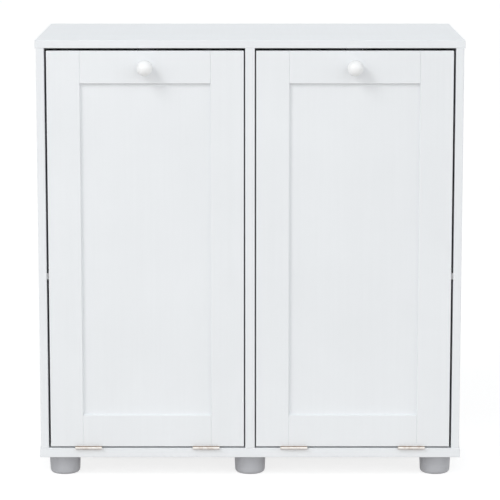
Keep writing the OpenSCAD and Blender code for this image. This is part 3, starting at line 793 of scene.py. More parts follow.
def lathe(
    profile: np.ndarray, origin: Sequence[float], axis: Axis, sides: int, ring: bool = False
) -> Shell:
    """A turned shape: radius r and length h give (r cos t, r sin t, h) for t round the axis.

    Args:
        profile: Rows of radius and length. Its ends lie on the axis unless ring is set.
        origin: Where length 0 lies.
        axis: The way that length runs.
        sides: Steps round the axis.
        ring: The profile is a closed loop clear of the axis.

    Returns:
        The closed shell.
    """
    turn = np.linspace(0, 2 * math.pi, sides, endpoint=False)
    radius, length = profile[:, 0][:, None], profile[:, 1][:, None]
    local = np.stack(
        [radius * np.cos(turn), radius * np.sin(turn), length + 0 * turn[None, :]], axis=-1
    )
    if ring:
        local = np.concatenate([local, local[:1]])
    basis = np.array(axis.value, float)
    points = local @ basis + np.array(origin, float)
    if ring:
        return grid(points, around=True).looped(len(profile) * sides)
    shell = grid(points[1:-1], around=True, first_pole=True, last_pole=True)
    shell.points[-2], shell.points[-1] = points[0, 0], points[-1, 0]
    return shell.turned_out()


def arc(
    centre: tuple[float, float], radius: float, start: float, end: float, steps: int
) -> np.ndarray:
    """Points on a circle in the plane of a profile.

    Args:
        centre: Its centre.
        radius: Its radius.
        start: The first angle, in degrees.
        end: The last angle, in degrees.
        steps: Steps between them.

    Returns:
        One row for each point.
    """
    turn = np.radians(np.linspace(start, end, steps + 1))
    return np.stack(
        [centre[0] + radius * np.cos(turn), centre[1] + radius * np.sin(turn)], axis=1
    )


def tube(path: np.ndarray, radius: float, up: Sequence[float], sides: int) -> Shell:
    """A round bar along a path, with slightly domed ends.

    Each point of the path carries a circle square to the path's direction t, on the two
    vectors n = t x up and t x n. The rings at the ends shrink as a dome does.

    Args:
        path: The points of its centre line.
        radius: The bar's radius.
        up: A direction that the path never runs along.
        sides: Steps round the bar.

    Returns:
        The closed shell.
    """
    ahead = unit(np.gradient(path, axis=0))
    side = unit(np.cross(ahead, np.array(up, float)))
    other = np.cross(ahead, side)
    dome, flatness = np.radians(np.array([75.0, 50.0, 25.0])), 0.35
    low, high = np.cos(dome) * radius, np.sin(dome) * radius * flatness
    centres = np.concatenate(
        [path[0] - ahead[0] * high[:, None], path, path[-1] + ahead[-1] * high[::-1, None]]
    )
    size = np.concatenate([low, np.full(len(path), radius), low[::-1]])
    ends = ((len(dome), len(dome)), (0, 0))
    side, other = np.pad(side, ends, "edge"), np.pad(other, ends, "edge")
    turn = np.linspace(0, 2 * math.pi, sides, endpoint=False)[None, :, None]
    points = centres[:, None] + size[:, None, None] * (
        np.cos(turn) * side[:, None] + np.sin(turn) * other[:, None]
    )
    return grid(points, around=True, first_pole=True, last_pole=True).turned_out()


def plate(
    middle: Sequence[float], size: Sequence[float], corner: float, edge: float = 0.3 * MM
) -> Shell:
    """A plate in the X-Z plane with round corners and slightly rounded edges.

    Its outline is a rounded rectangle. Rings run from the back's middle over the edge,
    where the outline grows by edge (1 - cos a) and the depth by edge sin a, to the front.

    Args:
        middle: Its centre.
        size: Width, thickness along Y, and height.
        corner: Radius of the corners.
        edge: Radius of the edges.

    Returns:
        The closed shell.
    """
    half = np.array(size, float) / 2
    turn = np.linspace(0, 1, 64, endpoint=False)
    bend = np.radians(np.linspace(0, 90, 4))
    x, z, nx, nz = rounded_ring(turn, half[0], half[2], corner)
    early, late = edge * (1 - np.cos(bend)), edge * (1 - np.sin(bend))
    draw_in = np.concatenate([late, early])
    depth = np.concatenate([early - half[1], half[1] - late])
    points = np.stack(
        [
            x[None] - nx[None] * draw_in[:, None],
            np.repeat(depth[:, None], len(turn), 1),
            z[None] - nz[None] * draw_in[:, None],
        ],
        axis=-1,
    )
    shell = grid(points + np.array(middle, float), True, True, True)
    return shell.turned_out()


def rounded_ring(
    turn: np.ndarray, half_x: np.ndarray, half_y: np.ndarray, radius: np.ndarray
) -> tuple[np.ndarray, np.ndarray, np.ndarray, np.ndarray]:
    """Points and outward directions on a rectangle with round corners.

    One turn goes from the middle of the +x side to the +y side and on. In each quarter the
    distance d runs up the first half side, round the corner's arc, and along the second
    half side. Odd quarters are the even ones mirrored.

    Args:
        turn: Turns from 0 to 1.
        half_x: Half the width.
        half_y: Half the depth.
        radius: Radius of the corners.

    Returns:
        x, y, and the two parts of the outward direction.
    """
    quarter = np.floor(turn * 4) % 4
    share = turn * 4 - np.floor(turn * 4)
    mirrored = quarter % 2 == 1
    share = np.where(mirrored, 1 - share, share)
    first, second = half_y - radius, half_x - radius
    bend = radius * math.pi / 2
    distance = share * (first + bend + second)
    rise = np.clip(distance, 0, first)
    angle = np.clip((distance - first) / radius, 0, math.pi / 2)
    run = np.clip(distance - first - bend, 0, second)
    x = second + radius * np.cos(angle) - run
    y = rise + radius * np.sin(angle)
    sign_x = np.where((quarter == 1) | (quarter == 2), -1.0, 1.0)
    sign_y = np.where(quarter >= 2, -1.0, 1.0)
    return x * sign_x, y * sign_y, np.cos(angle) * sign_x, np.sin(angle) * sign_y


def piece(
    name: str,
    shell: Shell,
    finish: Finish,
    body: str,
    slot: str,
    solidify: float = 0.0,
) -> bpy.types.Object:
    """Makes a piece at the origin, rides it on a body and reports it.

    Args:
        name: The piece's name.
        shell: Its surface.
        finish: Its finish.
        body: The body that carries it.
        slot: The record's slot that matches its finish. It is not used.
        solidify: The thickness of cloth, if it is a sheet.

    Returns:
        The object.
    """
    mesh = bpy.data.meshes.new(name)
    faces = [row for face in shell.faces for row in face.tolist()]
    mesh.from_pydata(shell.points.tolist(), [], faces)
    cloth = mesh.uv_layers.new(name="cloth")
    flat = np.concatenate([uv.reshape(-1, 2) for uv in shell.cloth])
    cloth.data.foreach_set("uv", flat.ravel())
    mesh.polygons.foreach_set("use_smooth", np.ones(len(mesh.polygons), bool))
    mesh.materials.append(finish.material())
    mesh.update()
    made = bpy.data.objects.new(name, mesh)
    bpy.context.scene.collection.objects.link(made)
    if solidify:
        wall = made.modifiers.new("cloth", "SOLIDIFY")
        wall.thickness, wall.offset, wall.use_even_offset = solidify, 0.0, True
    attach(made, body)
    log.info("%s: %d points on %s", name, len(mesh.vertices), body)
    return made


def dress(names: Iterable[str], finish: Finish) -> None:
    """Gives nodes of the frame a finish, through their own material slots.

    Args:
        names: The nodes.
        finish: Their finish.
    """
    for name in names:
        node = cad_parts[name]
        if not node.material_slots:
            node.data.materials.append(finish.material())
        for slot in node.material_slots:
            slot.link = "OBJECT"
            slot.material = finish.material()
        log.info("%s: %s", name, finish.name)


# ----------------------------------------------------------------- sub-assemblies


@dataclass
class Side:
    """One bay: its name, and its sign along X."""

    name: str
    sign: int

    @property
    def body(self) -> str:
        """The body of this bay's door."""
        return f"{self.name}_door"


@dataclass
class Carcass:
    """Boards, back panels, joints, catches and the fixed halves of the hinges."""

    boards: tuple[str, ...] = ("left_side", "right_side", "partition")

    def dress(self) -> None:
        """Paints the boards and gives the fittings their finishes."""
        dress(self.boards, CARCASS_PAINT)
        dress(["top_board"], TOP_PAINT)
        dress(["base_board"], BASE_PAINT)
        dress(["left_back_panel", "right_back_panel"], BACK_BOARD)
        dress(["dowels"], BEECH)
        dress(["panel_pins", "cam_bolts", "cam_locks", "base_screws", "foot_screws"], ZINC)
        dress(["left_stay_stud", "right_stay_stud"], DULL_ZINC)
        dress(["catch_screws"], BLACK_STEEL)
        dress(["left_catch", "right_catch"], CATCH_PLASTIC)
        dress(["catch_magnets"], MAGNET)
        ends = ("left_outer", "left_inner", "right_inner", "right_outer")
        leaves = [f"{end}_base_leaf" for end in ends]
        dress([*leaves, "hinge_pins", "base_leaf_screws"], HINGE_NICKEL)


@dataclass
class Feet:
    """Six round feet, slightly narrower at the floor."""

    taper: float = 1.5 * MM
    round_r: float = 7.0 * MM
    wall: float = 4.0 * MM
    boss_r: float = 11.0 * MM
    floor_h: float = 12.0 * MM
    recess_r: float = 6.0 * MM
    recess_h: float = 9.0 * MM
    screw_r: float = 2.8 * MM
    bevel: float = 0.4 * MM
    inner_round: float = 0.6 * MM
    top_round: float = 0.8 * MM

    def profile(self, radius: float, height: float) -> np.ndarray:
        """The loop round a foot's section: recess, underside, round edge, wall and cavity.

        Args:
            radius: The foot's radius under the board.
            height: The foot's height.

        Returns:
            Rows of radius and height.
        """
        low, recess, edge = radius - self.taper, self.recess_r, self.inner_round
        top_r, top_h = radius - self.top_round, height - self.top_round
        flank = [np.linspace(low, radius, 7)[1:], np.linspace(self.round_r, top_h, 7)[1:]]
        return np.concatenate(
            [
                [[self.screw_r, height], [self.screw_r, self.recess_h]],
                [[recess - self.bevel, self.recess_h], [recess, self.recess_h - self.bevel]],
                arc((recess + edge, edge), edge, 180, 270, 4),
                arc((low - self.round_r, self.round_r), self.round_r, -90, 0, 12),
                np.stack(flank, axis=1),
                arc((top_r, top_h), self.top_round, 20, 90, 4),
                [[radius - self.wall, height], [radius - self.wall, self.floor_h]],
                [[self.boss_r, self.floor_h], [self.boss_r, height]],
            ]
        )

    def build(self) -> None:
        """Turns each foot round the middle of its solid."""
        for row in ("front", "rear"):
            for place in ("left", "middle", "right"):
                name = f"{row}_{place}_foot"
                low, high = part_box(name)
                middle = (low + high) / 2
                profile = self.profile((high.x - low.x) / 2, high.z)
                shell = lathe(profile, (middle.x, middle.y, 0.0), Axis.UP, 96, ring=True)
                made = piece(f"{name}_moulding", shell, FOOT_PLASTIC, "carcass", "foot_plastic")
                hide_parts(name)


@dataclass
class Door:
    """A door's frame and panel, its knob, plates and screws."""

    side: Side
    wood: tuple[str, ...] = ("outer_stile", "inner_stile", "panel", "top_rail", "bottom_rail")
    ball_r: float = 15.0 * MM
    foot_r: float = 8.0 * MM
    foot_round: float = 0.5 * MM
    neck_r: float = 6.0 * MM
    hollow_r: float = 4.2 * MM

    def knob_profile(self, reach: float) -> np.ndarray:
        """The knob's outline: a flat foot, a hollow neck, and a ball that ends on the axis.

        Args:
            reach: How far the knob stands out from the door.

        Returns:
            Rows of radius and reach.
        """
        centre = reach - self.ball_r
        start = -math.degrees(math.acos(self.neck_r / self.ball_r))
        edge = self.foot_r - self.foot_round
        hollow = (self.neck_r + self.hollow_r, self.hollow_r)
        return np.concatenate(
            [
                [[0.0, 0.0], [edge, 0.0]],
                arc((edge, self.foot_round), self.foot_round, -90, 0, 4),
                arc(hollow, self.hollow_r, 235, 180, 8),
                arc((0.0, centre), self.ball_r, start, 90, 40)[:-1],
                [[0.0, reach]],
            ]
        )

    def build(self) -> None:
        """Turns the knob about its own axis."""
        name = f"{self.side.name}_knob"
        low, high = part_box(name)
        middle = (low + high) / 2
        shell = lathe(
            self.knob_profile(high.y - low.y), (middle.x, high.y, middle.z), Axis.FRONT, 96
        )
        made = piece(f"{name}_ball", shell, KNOB_LACQUER, self.side.body, "knob_lacquer")
        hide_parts(name)

    def dress(self) -> None:
        """Paints the wood and gives the fittings their finishes."""
        for finish, parts in (
            (DOOR_PAINT, (f"door_{part}" for part in self.wood)),
            (HINGE_NICKEL, ("door_leaves",)),
            (ZINC, ("door_screws", "knob_screw", "strike_plate", "stay")),
        ):
            dress([f"{self.side.name}_{part}" for part in parts], finish)


@dataclass
class BagFrame:
    """The wire frame that holds a bag: a long U of wire, a cross bar, braces and tabs.

    Its places come from the box of its solid, whose top is the wire's top and whose far end
    is the rear bar. A bead of weld is given in millimetres past the bar's radius, and in
    height over the tab.
    """

    side: Side
    wire_r: float = 3.5 * MM
    cross_r: float = 3.0 * MM
    bend_r: float = 30.0 * MM
    tab: tuple[float, float, float] = (20.0 * MM, 2.0 * MM, 30.0 * MM)
    tab_corner: float = 3.0 * MM
    bead: tuple[tuple[float, float], ...] = ((1.6, 0.0), (1.0, 0.7), (0.1, 1.4))
    bead_h: float = 1.5 * MM
    bead_sunk: float = 0.2 * MM
    steps: int = 24
    front_gap: float = 14.0 * MM
    brace_reach: float = 165.0 * MM
    middle_x: float = field(init=False)
    half_x: float = field(init=False)
    door_y: float = field(init=False)
    rear_y: float = field(init=False)
    ring_z: float = field(init=False)
    brace_z: float = field(init=False)

    def __post_init__(self) -> None:
        """Reads the solid's box."""
        low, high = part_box(f"{self.side.name}_bag_frame")
        self.middle_x = (low.x + high.x) / 2
        self.half_x = (high.x - low.x) / 2 - self.tab[0] / 2
        self.door_y = low.y
        self.rear_y = high.y - self.wire_r
        self.ring_z = high.z - self.wire_r
        self.brace_z = low.z + self.tab[2] - self.cross_r

    def build(self) -> bpy.types.Object:
        """Sweeps the bars and adds the tabs and the beads of weld.

        Returns:
            The piece.
        """
        bars = [self.long_bar(), self.cross_bar()]
        for sign in (-1, 1):
            bars += [self.brace(sign), *self.tabs(sign)]
        made = piece(
            f"{self.side.name}_bag_wire", join(bars), WIRE_COATING, self.side.body, "wire_coating"
        )
        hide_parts(f"{self.side.name}_bag_frame")
        return made

    def long_bar(self) -> Shell:
        """Both side bars and the rear bar: straights joined by quarter circles.

        Returns:
            The closed shell.
        """
        inner = self.half_x - self.bend_r
        back = self.rear_y - self.bend_r
        start = self.door_y + self.tab[1] / 2
        straight = np.linspace(start, back, self.steps)[:-1]
        left = np.stack([np.full_like(straight, -self.half_x), straight], axis=1)
        bend = arc((-inner, back), self.bend_r, 180, 90, 16)
        x = np.linspace(-inner, inner, self.steps)[1:-1]
        across = np.stack([x, np.full_like(x, self.rear_y)], axis=1)
        half = np.concatenate([left, bend, across])
        other = np.concatenate([left, bend])[::-1] * (-1, 1)
        flat = np.concatenate([half, other])
        path = np.column_stack([flat, np.full(len(flat), self.ring_z)])
        return tube(path + (self.middle_x, 0, 0), self.wire_r, (0, 0, 1), 24)

    def cross_bar(self) -> Shell:
        """The front bar, between the side bars.

        Returns:
            The closed shell.
        """
        x = np.linspace(-self.half_x, self.half_x, self.steps)
        y = np.full_like(x, self.door_y + self.front_gap)
        path = np.stack([x + self.middle_x, y, np.full_like(x, self.ring_z)], axis=1)
        return tube(path, self.cross_r, (0, 0, 1), 20)

    def brace(self, sign: int) -> Shell:
        """A sloping bar from the door up to a side bar: its ends mixed by t from 0 to 1.

        Args:
            sign: The side bar's sign along X.

        Returns:
            The closed shell.
        """
        low = np.array([self.door_y + self.cross_r, self.brace_z])
        high = np.array([self.door_y + self.brace_reach, self.ring_z])
        t = np.linspace(0, 1, 16)[:, None]
        x = np.full_like(t, self.middle_x + sign * self.half_x)
        path = np.column_stack([x, low * (1 - t) + high * t])
        return tube(path, self.cross_r, (1, 0, 0), 20)

    def tabs(self, sign: int) -> list[Shell]:
        """The two plates that are screwed to the door, and a bead of weld at each bar.

        Args:
            sign: The side bar's sign along X.

        Returns:
            The closed shells.
        """
        _, thick, height = self.tab
        x = self.middle_x + sign * self.half_x
        shells = []
        for z, radius in ((self.ring_z, self.wire_r), (self.brace_z, self.cross_r)):
            middle = (x, self.door_y + thick / 2, z + radius - height / 2)
            slope = [(radius + past * MM, rise * MM) for past, rise in self.bead]
            bead = np.array([(0.0, 0.0), *slope, (0.0, self.bead_h)])
            foot = (x, self.door_y + thick - self.bead_sunk, z)
            shells += [plate(middle, self.tab, self.tab_corner), lathe(bead, foot, Axis.BACK, 24)]
        return shells


@dataclass(frozen=True)
class Flap:
    """Where a flap hangs.

    Attributes:
        middle: The middle of its bar.
        outward: The direction out of the bag.
        facing: The same, as the way that its studs point.
        length: Its length along the bar.
    """

    middle: np.ndarray
    outward: np.ndarray
    facing: Axis
    length: float


@dataclass
class Bag:
    """A canvas bag that hangs from the wire frame by four flaps.

    Attributes:
        wire: The frame that it hangs from.
        flat: Size of the cloth laid flat: round the bag, and from hem to floor. It is not used.
        cloth_t: Thickness of the canvas.
        seam_t: Thickness of a seam's strip.
        webbing_t: Thickness of a handle.
        cloth_h: Height of the wall, measured on the cloth.
        play: Gap between the cloth and the wire.
        taper: How far the lower part draws in.
        floor_in: How far the floor's edge is drawn in past that.
        floor_bend: Height over which the wall turns into the floor.
        floor_rise: Height of the floor's creases.
        floor_middle: Height of its middle over its edge.
        slack: How far each side sinks in.
        upright: Depth of the upright folds beside the corners.
        slant: Depth of the folds from the rim's corners.
        ripple: Depth of the small waves.
        hem_drop: How far a flap hangs down outside its bar.
        flap_corner: Radius of a flap's lower corners.
        flap_short: How much shorter a side flap is than its bar's straight part.
        flap_back: How far behind that part's middle it hangs.
        flutter: Depth of a flap's waves.
        thread_r: Radius of a stitch.
        hem_pitch: From one stitch to the next on a flap.
        rim_pitch: The same under the rim.
        hem_rows: Rows of stitches on a flap, as shares of its section.
        rim_rows: Rows of stitches under the rim, as heights.
        cords: Piping and bound edge: height, radius and distance outside the cloth.
        seam_half: Half the width of a seam's strip.
        seam_out: Distance of that strip outside the cloth.
        stud_r: Radius of a press stud.
        stud_row: Places of the studs along a flap, from -1 to 1.
        stud_share: Their place down its section.
        around: Points round the bag.
        rows: Points up its wall.
        ripples: Waves in the sum.
        creases: Short creases.
    """

    wire: BagFrame
    flat: tuple[float, float] = (1.26, 0.66)
    cloth_t: float = 1.3 * MM
    seam_t: float = 0.9 * MM
    webbing_t: float = 1.8 * MM
    cloth_h: float = 0.6
    play: float = 0.4 * MM
    taper: float = 7.0 * MM
    floor_in: float = 17.0 * MM
    floor_bend: float = 34.0 * MM
    floor_rise: float = 5.0 * MM
    floor_middle: float = 2.0 * MM
    slack: float = 9.0 * MM
    upright: float = 3.6 * MM
    slant: float = 3.0 * MM
    ripple: float = 0.5 * MM
    hem_drop: float = 33.0 * MM
    flap_corner: float = 9.0 * MM
    flap_short: float = 24.0 * MM
    flap_back: float = 2.0 * MM
    flutter: float = 0.8 * MM
    thread_r: float = 0.45 * MM
    hem_pitch: float = 4.2 * MM
    rim_pitch: float = 4.4 * MM
    hem_rows: tuple[float, ...] = (0.80, 0.97)
    rim_rows: tuple[float, ...] = (0.976, 0.955)
    cords: tuple[tuple[float, float, float], ...] = (
        (0.045, 1.5 * MM, 0.8 * MM), (1.0, 1.25 * MM, 0.0)
    )
    seam_half: float = 5.5 * MM
    seam_out: float = 1.15 * MM
    stud_r: float = 5.5 * MM
    stud_row: tuple[float, ...] = (-0.62, 0.0, 0.62)
    stud_share: float = 0.885
    around: int = 336
    rows: int = 110
    ripples: int = 14
    creases: int = 46
    bottom_z: float = field(init=False)
    half_x: float = field(init=False)
    half_y: float = field(init=False)
    middle_y: float = field(init=False)
    corner: float = field(init=False)
    waves: np.ndarray = field(init=False)
    folds: np.ndarray = field(init=False)

    def __post_init__(self) -> None:
        """Works out the section at the rim from the frame's bars."""
        wire = self.wire
        low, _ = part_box(f"{wire.side.name}_bag")
        inset = wire.wire_r + self.play + self.cloth_t / 2
        front = wire.door_y + wire.front_gap + inset
        rear = wire.rear_y - inset
        self.bottom_z = low.z + self.cloth_t / 2
        self.half_x = wire.half_x - inset
        self.half_y = (rear - front) / 2
        self.middle_y = (rear + front) / 2
        self.corner = wire.bend_r - inset
        rng = np.random.default_rng(11 if wire.side.sign < 0 else 23)
        many = self.ripples
        self.waves = np.column_stack(
            [
                rng.integers(3, 19, many),
                rng.uniform(0.5, 5.0, many),
                rng.uniform(0, 2 * math.pi, many),
                rng.uniform(0.3, 1.0, many),
            ]
        )
        many = self.creases
        lean = rng.choice([-1.0, 1.0], many) * rng.uniform(0.15, 1.25, many)
        self.folds = np.column_stack(
            [
                rng.uniform(0, 1, many),
                rng.beta(1.2, 1.8, many) * 0.8 + 0.05,
                lean,
                rng.uniform(0.05, 0.17, many),
                rng.uniform(5.0, 13.0, many) * MM,
                rng.uniform(0.8, 3.4, many) * MM,
            ]
        )

    def wall(self, turn: np.ndarray, height: np.ndarray, proud: float = 0.0) -> np.ndarray:
        """A point of the wall, for a turn round the bag and a height from 0 to 1.

        The section is a rounded rectangle, moved inwards by the margin and by the folds.

        Args:
            turn: Turns round the bag, from the middle of its +x side.
            height: 0 at the floor and 1 at the rim.
            proud: Distance outside the middle of the cloth.

        Returns:
            The points, with one more axis than turn and height.
        """
        z = self.bottom_z + (self.wire.ring_z - self.bottom_z) * height
        inward = self.margin(height, z) + self.hanging(turn, height) + self.crumpled(turn, height)
        x, y, nx, ny = rounded_ring(turn, self.half_x, self.half_y, self.corner)
        offset = proud - inward
        return np.stack(
            [self.wire.middle_x + x + nx * offset, self.middle_y + y + ny * offset, z], axis=-1
        )

    def margin(self, height: np.ndarray, z: np.ndarray) -> np.ndarray:
        """How far the wall draws in: a smooth step of the taper, and a quarter circle low down.

        Args:
            height: 0 at the floor and 1 at the rim.
            z: The same place, in metres.

        Returns:
            The distance inwards.
        """
        tapered = 0.7
        fall = np.clip((1 - height) / tapered, 0, 1)
        bend = np.clip(1 - (z - self.bottom_z) / self.floor_bend, 0, 1)
        turned = self.floor_in * (1 - np.sqrt(np.clip(1 - bend**2, 0, 1)))
        return self.taper * fall * fall * (3 - 2 * fall) + turned

    def hanging(self, turn: np.ndarray, height: np.ndarray) -> np.ndarray:
        """Slack and long folds of cloth that hangs from the wire.

        The slack of each side is cos squared across it and a half sine up it. Upright folds
        are waves within a bell beside each corner. Slanted folds are bells that run from the
        rim's corners down and away, and die out below.

        Args:
            turn: Turns round the bag.
            height: 0 at the floor and 1 at the rim.

        Returns:
            The distance inwards.
        """
        corner_w, fold_w, fold_h, folds = 0.22, 0.045, 0.45, 7.0
        side = turn * 4 - np.round(turn * 4)
        corner = turn * 4 - np.floor(turn * 4) - 0.5
        hung = np.sin(math.pi * np.clip(height, 0, 1))
        slack = self.slack * np.cos(math.pi * side) ** 2 * hung**0.8
        free = np.clip(1 - height, 0, 1) ** 0.5 * np.clip(height * 6, 0, 1)
        wave = np.cos(2 * math.pi * (corner * folds + 0.35 * np.sin(5 * height)))
        bell = np.exp(-((corner / corner_w) ** 2))
        upright = self.upright * bell * free * (0.5 + 0.5 * wave)
        reach = 0.52 * (1 - height) ** 0.8 + 0.05
        slanted = sum(np.exp(-(((corner - way * reach) / fold_w) ** 2)) for way in (-1, 1))
        dying = np.clip((1 - height) * 5, 0, 1) * np.exp(-(((1 - height) / fold_h) ** 2))
        return slack + upright + self.slant * slanted * dying

    def crumpled(self, turn: np.ndarray, height: np.ndarray) -> np.ndarray:
        """A sum of small waves that grows towards the floor, and the short creases.

        Both die out at the rim and at the floor's edge.

        Args:
            turn: Turns round the bag.
            height: 0 at the floor and 1 at the rim.

        Returns:
            The distance inwards.
        """
        ripple = sum(
            size * np.sin(2 * math.pi * (count * turn + rise * height) + phase)
            for count, rise, phase, size in self.waves
        )
        ripple = self.ripple * (ripple + 4.0) * np.clip(1 - height, 0, 1) ** 0.7
        crease = sum(self.crease(turn, height, *fold) for fold in self.folds)
        crease = crease * np.clip((1 - height) * 6, 0, 1)
        return (ripple + crease) * np.clip(height * 8, 0, 1)

    def crease(
        self,
        turn: np.ndarray,
        height: np.ndarray,
        at_turn: float,
        at_height: float,
        lean: float,
        length: float,
        width: float,
        depth: float,
    ) -> np.ndarray:
        """One short crease in the cloth.

        Across it the depth falls as a bell of its distance, with a sharper side below. Along
        it the depth falls as a bell of the distance from its middle. A lean of 0 is upright.

        Args:
            turn: Turns round the bag.
            height: 0 at the floor and 1 at the rim.
            at_turn: The turn of its middle.
            at_height: The height of its middle.
            lean: How far it leans, in radians.
            length: Half its length.
            width: Half its width on the soft side.
            depth: How far it presses the cloth in.

        Returns:
            The depth at each point.
        """
        across = (np.mod(turn - at_turn + 0.5, 1.0) - 0.5) * self.girth()
        up = (height - at_height) * self.cloth_h
        along = np.sin(lean) * across + np.cos(lean) * up
        off = np.cos(lean) * across - np.sin(lean) * up + 0.25 * along**2 / length
        sharp = np.where(off > 0, width * 0.45, width)
        return depth * np.exp(-((off / sharp) ** 2)) * np.exp(-((along / length) ** 2))

    def girth(self) -> float:
        """The length round the rim."""
        straight = 4 * (self.half_x + self.half_y - 2 * self.corner)
        return straight + 2 * math.pi * self.corner

    def body(self) -> Shell:
        """Wall rows from the rim down, then floor rows that shrink to the middle.

        A floor point is share of the way from the middle to the wall's lowest ring, and
        rises by a low swell of radial creases.

        Returns:
            The open shell, with its top edge at the wire.
        """
        turn = np.arange(self.around) / self.around
        heights = np.linspace(1, 0, self.rows) ** 1.15
        wall = self.wall(turn[None], heights[:, None] + 0 * turn[None])
        ring = wall[-1]
        middle = np.array([self.wire.middle_x, self.middle_y, self.bottom_z])
        share = np.linspace(1, 0, 26)[1:-1][:, None]
        floor = middle + (ring[None] - middle) * share[..., None]
        crease = 0.5 + 0.5 * np.sin(2 * math.pi * (5 * turn[None] + 1.3 * share))
        floor[..., 2] += self.floor_rise * crease * np.sin(math.pi * share) * (1 - share * 0.5)
        points = np.concatenate([wall, floor])
        across = np.arange(self.around + 1) / self.around * self.girth()
        down = np.concatenate(
            [(1 - heights) * self.cloth_h, self.cloth_h + (1 - share[:, 0]) * self.half_y]
        )
        cloth = np.stack(np.meshgrid(across, down, indexing="xy"), axis=-1)
        shell = grid(points, around=True, last_pole=True, cloth=cloth)
        shell.points[-1, 2] = self.bottom_z + self.floor_middle
        return shell

    def hung_flaps(self) -> list[Flap]:
        """Where the four flaps hang.

        Returns:
            The front, rear, left and right flap.
        """
        wire = self.wire
        front = wire.door_y + wire.front_gap
        span = 2 * (wire.half_x - wire.bend_r)
        long = wire.rear_y - wire.bend_r - front - self.flap_short
        side_y = (front + wire.rear_y - wire.bend_r) / 2 + self.flap_back
        return [
            Flap(
                np.array([wire.middle_x + x, y, wire.ring_z]),
                np.array([*way, 0.0]), facing, length,
            )
            for x, y, way, facing, length in (
                (0.0, front, (0.0, -1.0), Axis.FRONT, span),
                (0.0, wire.rear_y, (0.0, 1.0), Axis.BACK, span),
                (-wire.half_x, side_y, (-1.0, 0.0), Axis.LEFT, long),
                (wire.half_x, side_y, (1.0, 0.0), Axis.RIGHT, long),
            )
        ]

    def flap_section(self, share: np.ndarray) -> tuple[np.ndarray, np.ndarray, np.ndarray]:
        """Outward place, height and cloth length along a flap's section.

        It rises inside the wall, goes over the bar in a half ellipse, and hangs outside it.

        Args:
            share: From 0, inside the bag, to 1, at the hem.

        Returns:
            Outward place and height from the bar's middle, and the length so far.
        """
        inside, outside, crown = 5.9 * MM, 4.7 * MM, 5.1 * MM
        tucked, held, flare = 16 * MM, 6 * MM, 0.2 * MM
        half, centre = (inside + outside) / 2, (outside - inside) / 2
        turn = np.linspace(math.pi, 0, 13)
        out = np.concatenate(
            [[-inside, -inside], centre + half * np.cos(turn), [outside + flare]]
        )
        up = np.concatenate([[-tucked, -held], crown * np.sin(turn), [-self.hem_drop]])
        length = np.concatenate([[0], np.cumsum(np.hypot(np.diff(out), np.diff(up)))])
        at = share * length[-1]
        return np.interp(at, length, out), np.interp(at, length, up), at

    def flap_point(
        self, flap: Flap, along: np.ndarray, share: np.ndarray, proud: float = 0.0
    ) -> np.ndarray:
        """A point of a flap.

        The free part waves by sines along the bar, more towards the hem, and its two lower
        corners are cut to a quarter circle by lifting the hem there.

        Args:
            flap: The flap.
            along: From -1 to 1 along the bar.
            share: From 0 to 1 along the section.
            proud: Distance outside the cloth.

        Returns:
            The points.
        """
        out, up, _ = self.flap_section(share)
        run = np.cross(flap.outward, (0, 0, 1.0))
        x = along * flap.length / 2
        hang = np.clip(-up / self.hem_drop, 0, 1) * (out > 0)
        seed = flap.middle[0] * 37 + flap.middle[1] * 53
        wave = np.sin(x * 52 + seed) * 0.45 + np.sin(x * 97 + 2 * seed) * 0.3
        corner = self.flap_corner
        past = np.clip(np.abs(x) - (flap.length / 2 - corner), 0, corner)
        lift = corner - np.sqrt(np.clip(corner**2 - past**2, 0, None))
        up = up + lift * hang**4
        out = out + (wave + 0.4) * self.flutter * hang**1.5 + proud * np.where(out > 0, 1, -1)
        sideways = flap.middle + flap.outward * out[..., None] + run * x[..., None]
        return sideways + np.array([0, 0, 1.0]) * up[..., None]

    def flaps(self) -> Shell:
        """Four flaps over the bars.

        Returns:
            The open shells together.
        """
        shells = []
        share = np.linspace(0, 1, 44)[:, None]
        for flap in self.hung_flaps():
            along = np.linspace(-1, 1, 72)[None]
            points = self.flap_point(flap, along + 0 * share, share + 0 * along)
            _, _, length = self.flap_section(share + 0 * along)
            cloth = np.stack([(along + 0 * share) * flap.length / 2, length], axis=-1)
            shells.append(grid(points, cloth=cloth))
        return join(shells)

    def stitches(self, starts: np.ndarray, ends: np.ndarray, out: np.ndarray) -> Shell:
        """Stitches: short capsules between pairs of points, pressed into the cloth.

        Each is three rings of six points round the line from start to end, closed by poles.

        Args:
            starts: First ends of the stitches.
            ends: Second ends.
            out: The direction out of the cloth at each.

        Returns:
            The closed shells together.
        """
        radius, sides = self.thread_r, 6
        side = np.cross(unit(ends - starts), out)
        turn = np.linspace(0, 2 * math.pi, sides, endpoint=False)
        cos, sin = np.cos(turn)[None, :, None], np.sin(turn)[None, :, None]
        circle = (cos * side[:, None] + sin * out[:, None]) * radius
        t = np.array([0.08, 0.5, 0.92])
        thick = np.array([0.6, 1.0, 0.6])
        lift = np.array([-0.3, 0.25, -0.3]) * radius
        centres = (
            starts[:, None] + (ends - starts)[:, None] * t[None, :, None]
            + out[:, None] * lift[None, :, None]
        )
        rings = centres[:, :, None] + circle[:, None] * thick[None, :, None, None]
        poles = np.stack([starts - out * radius * 0.5, ends - out * radius * 0.5], axis=1)
        pole = sides * len(t)
        points = np.concatenate([rings.reshape(len(starts), pole, 3), poles], axis=1)
        k = np.arange(sides)
        following = (k + 1) % sides
        ring = np.stack([k, following, sides + following, sides + k], axis=1)
        quads = np.concatenate([ring, ring + sides])
        last = pole - sides
        tris = np.concatenate(
            [np.stack([following, k, np.full(sides, pole)], axis=1),
             np.stack([last + k, last + following, np.full(sides, pole + 1)], axis=1)]
        )
        base = (np.arange(len(starts)) * (pole + 2))[:, None, None]
